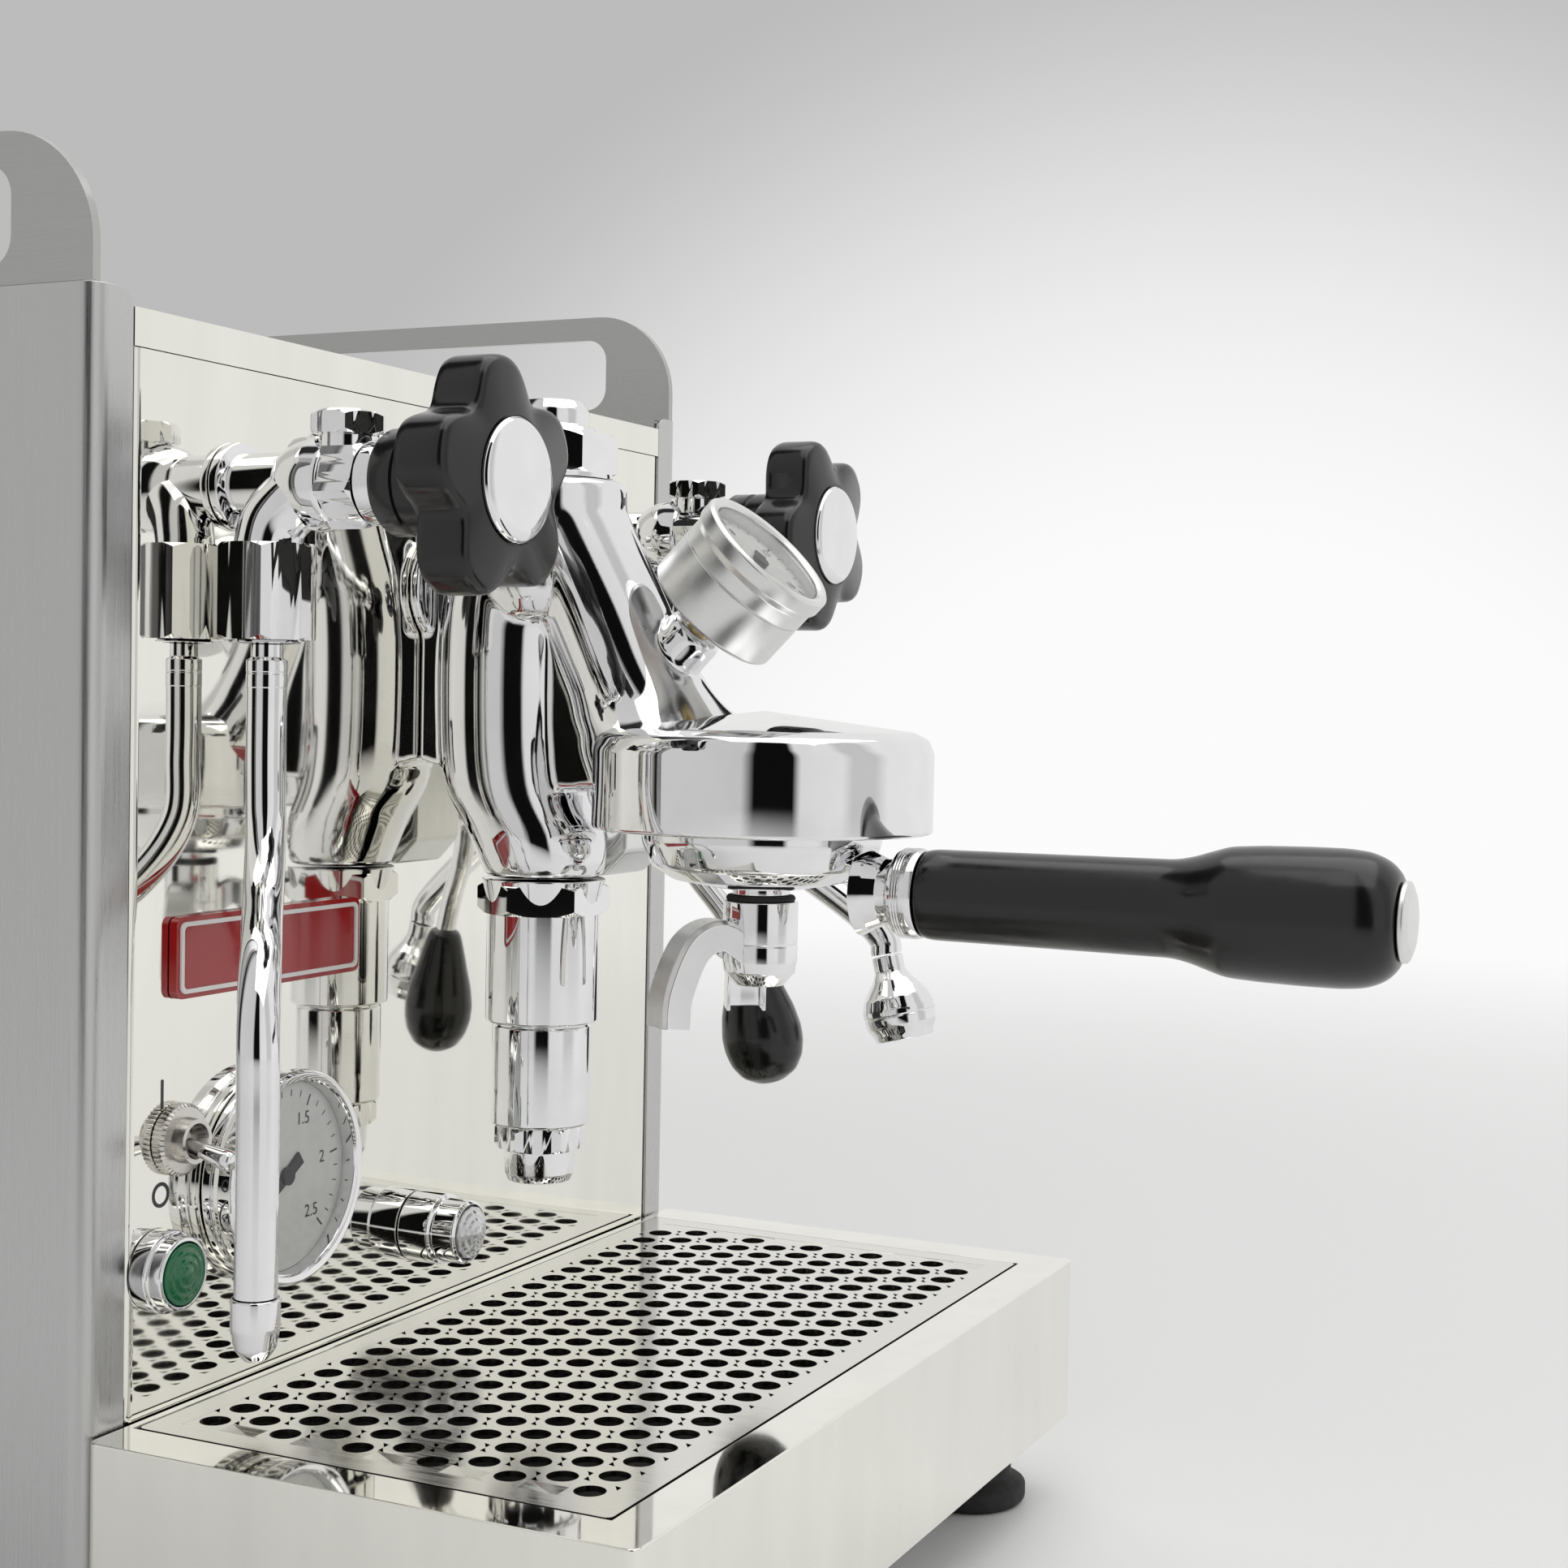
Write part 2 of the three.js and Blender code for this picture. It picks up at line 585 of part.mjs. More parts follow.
function gaugeNeedle(radius, z) {
  const tail = -radius * 0.25;
  const tip = radius * 0.68;
  const blade = prism(outline([[-2, tail], [2, tail], [0.5, tip], [-0.5, tip]]), z, z + 0.6);
  return blade.add(rod(2.6, z, z + 1.2, 14));
}

const BOILER_GAUGE_R = 30.3;
const BOILER_GAUGE_DEPTH = 12;
const GROUP_GAUGE_R = 22.5;
const GROUP_GAUGE_DEPTH = 27;
const NEEDLE_ROOM = 3;

function onPlate(part) {
  return along('-Y', part, [GAUGE_X, -GAP, GAUGE_Z]);
}

function boilerGaugeCase() {
  const stem = rod(9, -24, 1, 18);
  return onPlate(gaugeCase(BOILER_GAUGE_R, BOILER_GAUGE_DEPTH, NEEDLE_ROOM).add(stem));
}

// The group's gauge faces up and forward from the nose tube.
const GAUGE_TILT = 45;

function onNose(part) {
  return part.rotate([GAUGE_TILT, 0, 0]).translate([0, -95.4, 297.4]);
}

function groupGaugeCase() {
  const stem = rod(4.3, -12, 1, 14);
  return onNose(gaugeCase(GROUP_GAUGE_R, GROUP_GAUGE_DEPTH, NEEDLE_ROOM).add(stem));
}

// ---------------------------------------------------------------- portafilter

function portafilterBody() {
  const cup = turned([
    [0, 217.5], [12, 217.5], [26, 220], [32.5, 224], [35.3, 231], [35.3, 245], [31.5, 245],
    [31.5, 226], [26, 222.6], [0, 220.5],
  ], 16);
  const lug = (side) => block([side < 0 ? -41 : 34, -7, 240], [side < 0 ? -34 : 41, 7, 244.5]);
  const boss = turned([[0, 215], [8, 215], [8.5, 215.6], [8.5, 219], [0, 219]], 16);
  const cast = join(cup, lug(-1), lug(1), boss).translate([0, BELL_Y, 0]);
  const neck = along('-Y', turned([
    [0, 30], [13, 30], [9.5, 40], [9.5, 43], [12.2, 44.5], [13, 46], [13, 50], [12.5, 52], [0, 52],
  ], 14), [0, BELL_Y, HANDLE_Z]);
  const inside = turned([[0, 221], [31, 227], [31, 260], [0, 260]], 16).translate([0, BELL_Y, 0]);
  return join(cast, cut(neck, inside));
}

function filterBasket() {
  return turned([
    [0, 224], [25, 224], [29, 226.5], [30.6, 230], [30.6, 245.3], [34.5, 245.3], [34.5, 246.3],
    [29.6, 246.3], [29.6, 231], [28, 228], [25, 225], [0, 225],
  ], 24).translate([0, BELL_Y, 0]);
}

// Twin spout: a round hub with two open channels that curve out and down.
function doubleSpout() {
  const hub = turned([
    [0, 189], [7, 189], [10.5, 193], [11, 196], [11, 214], [0, 214],
  ], 16);
  // Both arms lean back towards the machine as well as outwards.
  const arm = (side) => {
    const at = (out, z) => [side * 0.83 * out, 0.56 * out, z];
    const route = [at(6, 198), at(16, 205), at(26, 198), at(31, 184), at(31.5, 177)];
    const channel = sweep(route, 6, { steps: 8, sides: 8 });
    return cut(channel, rod(4.2, 170, 186, 12).translate(at(31.5, 0)));
  };
  return join(hub, arm(-1), arm(1)).translate([0, BELL_Y, 0]);
}

function portafilterHandle() {
  const start = 52 + GAP - BELL_Y;
  const end = -HANDLE_END_Y - 3.4;
  const profile = [
    [0, start], [12.4, start], [12.9, start + 3], [13.4, 240], [15.2, 246], [17.6, 253], [18.2, 262],
    [18.5, 284], [17.6, 291], [15, 296], [12, end], [0, end],
  ];
  return along('-Y', turned(profile, 18), [0, 0, HANDLE_Z]);
}

function portafilterEndCap() {
  const end = -HANDLE_END_Y;
  const disc = turned([[0, end - 3.1], [10.8, end - 3.1], [10.8, end - 1.6], [8, end - 0.5], [0, end]]);
  return along('-Y', disc, [0, 0, HANDLE_Z]);
}

// ---------------------------------------------------------------- taps and wands

// Shapes below are for the right-hand tap; the left-hand one is its mirror image.
const TAP_BODY_Y = -31;
const TAP_HEX_R = 13.4;

function tapValve() {
  const pipe = along('-Y', rod(9, -22, 30, 14), [TAP_X, 0, TAP_Z]);
  const collar = along('-Y', turned([[0, GAP], [12, GAP], [12, 3], [9, 4], [0, 4]], 16), [TAP_X, 0, TAP_Z]);
  const body = along('-Y', turned([
    [0, 19], [9, 19.5], [12, 25], [12.6, 30], [12.2, 35.5], [0, 35.5],
  ], 16), [TAP_X, 0, TAP_Z]);
  const capNeck = turned([[0, 5], [7, 5], [7, 14], [0, 14]], 12);
  const cap = hexagon(11, TAP_HEX_R - 0.5, 18.6, 1.4);
  const elbow = sweep([
    [TAP_X, TAP_BODY_Y, TAP_Z - 1], [TAP_X + 2.5, -24, 325], [TAP_X + 4.4, -17.5, 319], [NUT_X, NUT_Y, 313],
    [NUT_X, NUT_Y, 309],
  ], 9, { steps: 10 });
  const ball = new THREE.SphereGeometry(8.6, 12, 8);
  const hexPart = along('-Y', hexagon(TAP_HEX_R, 34, 46, 1), [TAP_X, 0, TAP_Z]);
  const socket = cut(elbow, solid(ball).translate([NUT_X, NUT_Y, 304.2]));
  return join(pipe, collar, body, hexPart, join(capNeck, cap).translate([TAP_X, -37.5, TAP_Z]), socket);
}

function tapBonnet() {
  const spindle = rod(5, 50, 58, 12);
  const cone = turned([[0, 46 + GAP], [11, 46 + GAP], [9.5, 51.8], [0, 52]]);
  return along('-Y', cone.add(spindle), [TAP_X, 0, TAP_Z]);
}

const KNOB_LOBES = 5;
const KNOB_MEAN_R = 27.5;
const KNOB_WAVE = 4.8;
const KNOB_FRONT = 87;            // distance of the lobes' front face from the plate
const KNOB_THICKNESS = 14;
const KNOB_CAP_R = 16.2;
const CAP_SEAT = KNOB_FRONT + 2;  // the face rises towards the middle, where the cap sits
const STEAM_PHASE = 98;           // angle of one lobe, from +X towards +Z
const WATER_PHASE = 115;

// Star outline: the radius swells once per lobe.
function starShape(offset) {
  const points = [];
  const count = KNOB_LOBES * 6;
  for (let i = 0; i < count; i += 1) {
    const angle = (2 * Math.PI * i) / count;
    const r = KNOB_MEAN_R - offset + KNOB_WAVE * Math.cos(KNOB_LOBES * angle);
    points.push([r * Math.cos(angle), r * Math.sin(angle)]);
  }
  return outline(points);
}

function tapKnob(phase) {
  const back = KNOB_FRONT - KNOB_THICKNESS;
  const star = join(
    prism(starShape(1.5), back, KNOB_FRONT),
    prism(starShape(0), back + 1.5, KNOB_FRONT - 1.5),
  ).rotate([0, 0, phase]);
  const hub = turned([
    [0, 52.5], [13, 52.5], [14.4, 54], [14.4, 75], [22, 76], [22, KNOB_FRONT - 1],
    [KNOB_CAP_R + 1.5, CAP_SEAT + 1], [0, CAP_SEAT + 1],
  ], 20);
  const bore = rod(5 + GAP, 50, 60, 12);
  const recess = rod(KNOB_CAP_R + GAP, CAP_SEAT, CAP_SEAT + 4, 20);
  return along('-Y', cut(join(star, hub), bore, recess), [TAP_X, 0, TAP_Z]);
}

function tapKnobCap() {
  const seat = CAP_SEAT + GAP;
  const r = KNOB_CAP_R;
  return along('-Y', turned([
    [0, seat], [r, seat], [r, seat + 1.2], [0.7 * r, seat + 3], [0.35 * r, seat + 3.8], [0, seat + 4],
  ], 20), [TAP_X, 0, TAP_Z]);
}

// Union nut that holds the wand's ball against the elbow.
function unionNut() {
  const blank = hexagon(14.2, 286.2, 312, 1.4);
  const bore = turned([
    [0, 280], [6.4, 280], [6.4, 290], [9.6, 294], [9.6, 315], [0, 315],
  ], 14);
  return cut(blank, bore).translate([NUT_X, NUT_Y, 0]);
}

// Ball, sleeve and pipe of a wand, drawn as a solid bar.
function wand(route) {
  const ball = solid(new THREE.SphereGeometry(8.2, 12, 8)).translate([NUT_X, NUT_Y, 300]);
  const sleeve = turned([
    [0, 273], [5.5, 273], [5.5, 280.7], [4.3, 281.5], [4.3, 300], [0, 300],
  ], 16).translate([NUT_X, NUT_Y, 0]);
  const pipe = sweep(route, 5.4, { steps: 22, sides: 8 });
  return join(ball, sleeve, pipe);
}

const STEAM_FOOT = [150, -48.2];       // where the steam wand comes down
const STEAM_TIP_Z = 122;
const steamRoute = [
  [NUT_X, NUT_Y, 279], [NUT_X, NUT_Y, 255], [NUT_X + 1, NUT_Y - 1, 236], [NUT_X + 12, NUT_Y - 9, 219],
  [STEAM_FOOT[0] - 12, STEAM_FOOT[1] + 9, 205], [STEAM_FOOT[0] - 1, STEAM_FOOT[1] + 1, 189],
  [...STEAM_FOOT, 170], [...STEAM_FOOT, STEAM_TIP_Z],
];

const WATER_END = [136, -97.3, 184.5];
const waterRoute = [
  [NUT_X, NUT_Y, 279], [NUT_X, NUT_Y, 262], [NUT_X + 2, NUT_Y - 4, 247], [116, -35, 232],
  [128, -62, 216], [134.5, -85, 200], [136, -95.7, 190.5], WATER_END,
];

function steamTip() {
  return turned([
    [0, STEAM_TIP_Z - 16], [3, STEAM_TIP_Z - 16], [5.2, STEAM_TIP_Z - 13], [6.2, STEAM_TIP_Z - 8],
    [6.2, STEAM_TIP_Z - GAP], [0, STEAM_TIP_Z - GAP],
  ], 14).translate([...STEAM_FOOT, 0]);
}

// Bulb-shaped aerator that leans the way the pipe ends.
const WATER_LEAN = 15;

function waterTip() {
  return turned([
    [0, 0.6], [5.4, 0.6], [5.4, 6], [7, 9], [11.5, 15], [12.7, 20], [12.2, 25], [10.5, 28], [10, 30], [0, 30],
  ], 16).rotate([180 - WATER_LEAN, 0, 0]).translate(WATER_END);
}

const mirrored = (part) => part.mirror([1, 0, 0]);

// ---------------------------------------------------------------- switch and lamps

function powerSwitchNut() {
  const nut = turned([[0, GAP], [9.8, GAP], [9.8, 3.6], [8.8, 4.4], [0, 4.4]], 20);
  const bush = rod(6, -20, 8, 12);
  const mouth = turned([[0, 3], [3.2, 3], [5, 9], [0, 9]], 14);
  return along('-Y', cut(nut.add(bush), mouth), [SWITCH_X, 0, SWITCH_Z]);
}

// Toggle lever at rest in its lower, off position.
const SWITCH_THROW = 26;

function powerSwitchLever() {
  const bat = turned([[0, 4.2], [1.8, 4.2], [2, 9], [2.9, 18], [2.6, 20.3], [0, 21]], 14);
  return along('-Y', bat.rotate([SWITCH_THROW / 2, 0, 0]), [SWITCH_X, 0, SWITCH_Z]);
}

// Indicator lamp: threaded barrel, bezel and a pressed-in lens.
function lamp([x, z], reach) {
  const unit = turned([
    [0, -16], [8, -16], [8, GAP], [11, GAP], [11, reach * 0.45], [9.8, reach * 0.5], [9.8, reach * 0.8],
    [8.6, reach * 0.95], [0, reach],
  ], 16);
  return along('-Y', unit, [x, 0, z]);
}

// ---------------------------------------------------------------- inside the casing

const TANK_FLOOR_Z = 110;
const TANK_TOP_Z = 358;

function waterTank() {
  const x = LID_HALF_X - 6;
  const outer = prism(roundedRectangle(-x, LID_FRONT_Y + 6, x, LID_BACK_Y - 6, 6), TANK_FLOOR_Z, TANK_TOP_Z);
  const wall = 2.5;
  const inner = prism(
    roundedRectangle(-x + wall, LID_FRONT_Y + 6 + wall, x - wall, LID_BACK_Y - 6 - wall, 4),
    TANK_FLOOR_Z + wall, TANK_TOP_Z + 1,
  );
  const leg = (x) => block([x - 3, LID_FRONT_Y + 10, 24.6], [x + 3, LID_BACK_Y - 10, TANK_FLOOR_Z + 1]);
  return join(cut(outer, inner), leg(-70), leg(70));
}

const BOILER_Y = 110;
const BOILER_Z = 235;
const BOILER_R = 58;

// Hollow horizontal boiler with a port on top, a bolted heater flange and two legs.
function boiler() {
  const wall = 2.5;
  const vessel = turned([
    [0, -92], [30, -90], [BOILER_R - 6, -82], [BOILER_R, -70], [BOILER_R, 70], [BOILER_R + 6, 70],
    [BOILER_R + 6, 76], [BOILER_R, 76], [BOILER_R, 80], [0, 80],
  ], 22);
  const hollow = turned([
    [0, wall - 92], [28, wall - 90], [BOILER_R - 8, wall - 82], [BOILER_R - wall, -69],
    [BOILER_R - wall, 80 - wall], [0, 80 - wall],
  ], 22);
  const port = rod(5, BOILER_R - 8, BOILER_R + 5, 12).translate([0, BOILER_Y, BOILER_Z]);
  const shell = cut(along('+X', cut(vessel, hollow), [0, BOILER_Y, BOILER_Z]), port);
  const heater = along('+X', hexagon(22, 79, 92, 1.5), [0, BOILER_Y, BOILER_Z]);
  const leg = (x) => block([x - 4, BOILER_Y - 30, 24.6], [x + 4, BOILER_Y + 30, BOILER_Z - BOILER_R + 8.5]);
  return join(shell, heater, leg(-50), leg(50));
}

// Copper pipes that circulate water between the boiler and the group.
function upperPipe() {
  return sweep([
    [0, 12 + GAP, 305], [0, 26, 305], [0, 40, 304], [0, 52, 300], [0, 62, 290], [0, 66, 281],
  ], 5, { steps: 9, sides: 8 });
}

function lowerPipe() {
  return sweep([
    [0, SHEET + 2, 243], [0, 14, 241], [0, 30, 236], [0, 51, 235],
  ], 5, { steps: 5, sides: 8 });
}

function vibrationPump() {
  const coil = block([-22, -20, -18], [22, 20, 18]);
  const barrel = along('+X', rod(8, -45, 45, 12), [0, 0, 0]);
  const stand = block([-20, -16, -30], [20, 16, -17]);
  return join(coil, barrel, stand).translate([92, 60, 55]);
}

function controlBox() {
  return prism(roundedRectangle(-42, -35, 42, 35, 4), 0, 45).translate([-104, 70, 24.6]);
}

const INLET_X = 95;
const INLET_Z = 60;

// Three-pin appliance inlet, open to the rear.
function inletSocket() {
  const body = block([-13.7, -28, -9.7], [13.7, 1, 9.7]);
  const cavity = block([-11.5, -18, -7.5], [11.5, 3, 7.5]);
  const flange = block([-17, GAP, -13], [17, INLET_FLANGE, 13]);
  const pin = (x, z) => block([x - 1, -19, z - 2], [x + 1, -4, z + 2]);
  return join(cut(join(body, flange), cavity), pin(-6, -1), pin(0, 2), pin(6, -1))
    .translate([INLET_X, BODY_DEPTH, INLET_Z]);
}

// ---------------------------------------------------------------- assembly

add('base_frame', brushedSteel, baseFrame());
add('left_side_panel', brushedSteel, sidePanel(-1));
add('right_side_panel', brushedSteel, sidePanel(1));
add('front_panel', mirrorSteel, frontPanel());
add('rear_panel', brushedSteel, rearPanel());
add('cup_tray', mirrorSteel, cupTray());
add('cup_rail', brushedSteel, cupRail());
add('tank_lid', mirrorSteel, tankLid());
for (const [name, x, y] of [
  ['front_left_foot', -130, -135], ['front_right_foot', 130, -135],
  ['rear_left_foot', -130, 255], ['rear_right_foot', 130, 255],
]) {
  add(name, blackRubber, foot().translate([x, y, 0]));
}
add('badge', redEnamel, badge());
add('drip_tray', mirrorSteel, dripTray());
add('drip_grate', satinSteel, dripGrate());

add('group_body', chrome, groupBody());
add('group_top_nut', chrome, groupTopNut());
add('preinfusion_chamber', chrome, preinfusionChamber());
add('discharge_nut', chrome, dischargeNut());
add('group_gasket', blackRubber, groupGasket());
add('shower_screen', satinSteel, showerScreen());
add('lever_hub', satinSteel, leverHub());
add('brew_lever', chrome, brewLever());
add('brew_lever_knob', blackPlastic, brewLeverKnob());

add('boiler_gauge_case', chrome, boilerGaugeCase());
add('boiler_gauge_needle', needleBlack, onPlate(gaugeNeedle(BOILER_GAUGE_R, 7).rotate([0, 0, 125])));
add('boiler_gauge_lens', clearGlass, onPlate(gaugeLens(BOILER_GAUGE_R, BOILER_GAUGE_DEPTH)));
add('group_gauge_case', chrome, groupGaugeCase());
add('group_gauge_needle', needleBlack, onNose(gaugeNeedle(GROUP_GAUGE_R, 22).rotate([0, 0, 125])));
add('group_gauge_lens', clearGlass, onNose(gaugeLens(GROUP_GAUGE_R, GROUP_GAUGE_DEPTH)));

add('portafilter_body', chrome, portafilterBody());
add('filter_basket', satinSteel, filterBasket());
add('double_spout', chrome, doubleSpout());
add('portafilter_handle', blackPlastic, portafilterHandle());
add('portafilter_end_cap', chrome, portafilterEndCap());

add('steam_valve', chrome, mirrored(tapValve()));
add('steam_bonnet', chrome, mirrored(tapBonnet()));
add('steam_knob', blackPlastic, mirrored(tapKnob(180 - STEAM_PHASE)));
add('steam_knob_cap', chrome, mirrored(tapKnobCap()));
add('steam_union_nut', chrome, mirrored(unionNut()));
add('steam_wand', chrome, mirrored(wand(steamRoute)));
add('steam_tip', chrome, mirrored(steamTip()));
add('hot_water_valve', chrome, tapValve());
add('hot_water_bonnet', chrome, tapBonnet());
add('hot_water_knob', blackPlastic, tapKnob(WATER_PHASE));
add('hot_water_knob_cap', chrome, tapKnobCap());
add('hot_water_union_nut', chrome, unionNut());
add('hot_water_wand', chrome, wand(waterRoute));
add('hot_water_tip', chrome, waterTip());

add('power_switch_nut', chrome, powerSwitchNut());
add('power_switch_lever', chrome, powerSwitchLever());
add('power_lamp', greenLens, lamp(POWER_LAMP, 12));
add('heating_lamp', clearGlass, lamp(HEATING_LAMP, 24));

add('water_tank', tankPlastic, waterTank());
add('boiler', brass, boiler());
add('upper_circulation_pipe', copper, upperPipe());
add('lower_circulation_pipe', copper, lowerPipe());
add('vibration_pump', brass, vibrationPump());
add('control_box', insulation, controlBox());
add('inlet_socket', blackPlastic, inletSocket());

export default machine;
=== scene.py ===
"""Looks of the espresso machine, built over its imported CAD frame.

Shapes below are written in millimetres: X to the right, Y to the back from the front plate's face,
Z up from the counter. place() turns them into the frame's metres.
"""
import math

import bmesh
import bpy
from mathutils import Matrix, Vector
from mathutils.geometry import tessellate_polygon


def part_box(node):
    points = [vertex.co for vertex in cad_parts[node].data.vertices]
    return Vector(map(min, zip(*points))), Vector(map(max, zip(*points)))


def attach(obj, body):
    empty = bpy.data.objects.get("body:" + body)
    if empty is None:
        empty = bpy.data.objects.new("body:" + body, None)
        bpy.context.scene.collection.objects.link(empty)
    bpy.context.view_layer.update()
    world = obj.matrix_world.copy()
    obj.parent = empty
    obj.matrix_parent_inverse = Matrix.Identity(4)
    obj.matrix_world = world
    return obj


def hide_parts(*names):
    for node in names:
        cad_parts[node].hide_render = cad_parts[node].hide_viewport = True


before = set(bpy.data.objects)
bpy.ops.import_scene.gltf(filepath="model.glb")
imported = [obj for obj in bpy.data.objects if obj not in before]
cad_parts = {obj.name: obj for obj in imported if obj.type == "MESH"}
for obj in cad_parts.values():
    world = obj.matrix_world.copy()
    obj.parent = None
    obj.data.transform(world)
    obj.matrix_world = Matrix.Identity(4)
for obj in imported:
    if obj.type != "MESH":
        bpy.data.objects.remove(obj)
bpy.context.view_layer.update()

MM = 0.001
PLATE_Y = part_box("front_panel")[0].y
SMOOTH_ANGLE = math.radians(33)

GROUP_Y = -39.5
GROUP_TOP_Z = 338
GROUP_CLOCKING = math.radians(28)
BELL_Y = -113.5
HUB_Z = 236
TAP_X = 100.8
TAP_Z = 328
TAP_CAP_Y = -37.5
TAP_HEX_CLOCKING = math.radians(17)
NUT_X = 105.8
NUT_Y = -15.3
HANDLE_Z = 218.5
BODY = "machine"


# ---------------------------------------------------------------- shapes: (points, faces) in millimetres

def joined(*shapes):
    points, faces = [], []
    for more_points, more_faces in shapes:
        start = len(points)
        points += more_points
        faces += [tuple(i + start for i in face) for face in more_faces]
    return points, faces


def moved(shape, matrix):
    return [tuple(matrix @ Vector(p)) for p in shape[0]], shape[1]


def shifted(shape, x, y, z):
    return moved(shape, Matrix.Translation((x, y, z)))


def turned_to(axis, shape, position):
    turns = {"-Y": (90, "X"), "+Y": (-90, "X"), "+X": (90, "Y")}
    angle, about = turns[axis]
    return moved(shape, Matrix.Translation(position) @ Matrix.Rotation(math.radians(angle), 4, about))


def mirrored(shape):
    return [(-x, y, z) for x, y, z in shape[0]], [face[::-1] for face in shape[1]]


def softened(profile, radius, steps=4):
    """Rounds each corner of an open profile."""
    result = [profile[0]]
    for before, corner, after in zip(profile, profile[1:], profile[2:]):
        a, b, c = Vector(before), Vector(corner), Vector(after)
        reach = min(radius, (a - b).length * 0.45, (c - b).length * 0.45)
        start = b + (a - b).normalized() * reach
        end = b + (c - b).normalized() * reach
        for i in range(steps + 1):
            t = i / steps
            result.append(tuple(start * (1 - t) ** 2 + b * 2 * t * (1 - t) + end * t * t))
    return result + [profile[-1]]


def stacked(rings, sides):
    """Skin over rings; each ring is a function of angle giving a radius, and a height."""
    points, faces, rows = [], [], []
    for radius, z in rings:
        row = range(len(points), len(points) + sides)
        for i in range(sides):
            angle = 2 * math.pi * i / sides
            r = radius(angle)
            points.append((r * math.sin(angle), -r * math.cos(angle), z))
        rows.append(row)
    for a, b in zip(rows, rows[1:]):
        for i in range(sides):
            j = (i + 1) % sides
            faces.append((a[i], a[j], b[j], b[i]))
    return points, faces


def turned(profile, sides=96, soft=0.4):
    rounded = softened(profile, soft) if soft else profile
    return stacked([((lambda angle, r=r: max(r, 1e-4)), z) for r, z in rounded], sides)


def leaning(levels, sides=72):
    """Round form whose centre drifts in Y; each level is a height, a centre and a radius."""
    drawn = smooth_path(levels, 6)
    drawn = [(drawn[0].x, drawn[0].y, 1e-4), *drawn, (drawn[-1].x, drawn[-1].y, 1e-4)]
    points, faces = stacked([((lambda angle, r=r: r), z) for z, _, r in drawn], sides)
    centres = [y for _, y, _ in drawn]
    return [(x, y + centres[i // sides], z) for i, (x, y, z) in enumerate(points)], faces


def rod(radius, z0, z1, soft=0.3):
    return turned([(0, z0), (radius, z0), (radius, z1), (0, z1)], soft=soft)


def hexagon(corner, z0, z1):
    """Hex bar whose corners are chamfered by a cone at both ends."""
    def across(angle):
        return corner * math.cos(math.pi / 6) / math.cos((angle % (math.pi / 3)) - math.pi / 6)

    limit = corner * 0.89
    slope = 0.75
    points, faces = [], []
    sides = 72
    rows = []
    for level in range(6):
        row = []
        for i in range(sides):
            angle = 2 * math.pi * i / sides
            full = across(angle)
            over = max(0, full - limit) * slope
            r, z = [
                (1e-4, z0), (min(full, limit), z0), (full, z0 + over + 0.05),
                (full, z1 - over - 0.05), (min(full, limit), z1), (1e-4, z1),
            ][level]
            row.append(len(points))
            points.append((r * math.sin(angle), -r * math.cos(angle), z))
        rows.append(row)
    for a, b in zip(rows, rows[1:]):
        for i in range(sides):
            j = (i + 1) % sides
            faces.append((a[i], a[j], b[j], b[i]))
    return points, faces


def smooth_path(points, steps):
    """Catmull-Rom curve through the points."""
    p = [Vector(q) for q in points]
    p = [2 * p[0] - p[1]] + p + [2 * p[-1] - p[-2]]
    path = []
    for a, b, c, d in zip(p, p[1:], p[2:], p[3:]):
        for i in range(steps):
            t = i / steps
            path.append(0.5 * (2 * b + (c - a) * t + (2 * a - 5 * b + 4 * c - d) * t * t
                               + (3 * b - a - 3 * c + d) * t ** 3))
    return path + [p[-2]]


def swept(points, section, steps=10, reference=None):
    """Carries a closed section of (side, up) points along a smooth path."""
    path = smooth_path(points, steps)
    shape_points, faces = [], []
    count = len(section)
    side = reference and Vector(reference)
    for i, here in enumerate(path):
        forward = (path[min(i + 1, len(path) - 1)] - path[max(i - 1, 0)]).normalized()
        if side is None:
            side = forward.orthogonal()
        side = (side - forward * side.dot(forward)).normalized()
        up = forward.cross(side)
        shape_points += [tuple(here + side * s + up * u) for s, u in section]
    for i in range(len(path) - 1):
        for k in range(count):
            n = (k + 1) % count
            faces.append((i * count + k, i * count + n, (i + 1) * count + n, (i + 1) * count + k))
    faces.append(tuple(range(count))[::-1])
    faces.append(tuple((len(path) - 1) * count + k for k in range(count)))
    return shape_points, faces


def circle(radius, count=40, x=0.0, y=0.0):
    return [
        (x + radius * math.cos(2 * math.pi * i / count), y + radius * math.sin(2 * math.pi * i / count))
        for i in range(count)
    ]


def pipe(points, radius, steps=10):
    return swept(points, circle(radius), steps)


def rounded_rectangle(x0, y0, x1, y1, r, steps=8):
    corners = [(x1 - r, y0 + r, -90), (x1 - r, y1 - r, 0), (x0 + r, y1 - r, 90), (x0 + r, y0 + r, 180)]
    return [
        (cx + r * math.cos(math.radians(start + 90 * i / steps)),
         cy + r * math.sin(math.radians(start + 90 * i / steps)))
        for cx, cy, start in corners for i in range(steps + 1)
    ]


def plate(outline, z0, z1, holes=()):
    """Flat plate with holes, extruded from z0 to z1."""
    loops = [outline, *holes]
    flat = [p for loop in loops for p in loop]
    points = [(x, y, z0) for x, y in flat] + [(x, y, z1) for x, y in flat]
    size = len(flat)
    caps = tessellate_polygon([[Vector((x, y, 0)) for x, y in loop] for loop in loops])
    faces = [tuple(t) for t in caps] + [tuple(i + size for i in t[::-1]) for t in caps]
    start = 0
    for loop in loops:
        for i in range(len(loop)):
            a, b = start + i, start + (i + 1) % len(loop)
            faces.append((a, b, b + size, a + size))
        start += len(loop)
    return points, faces


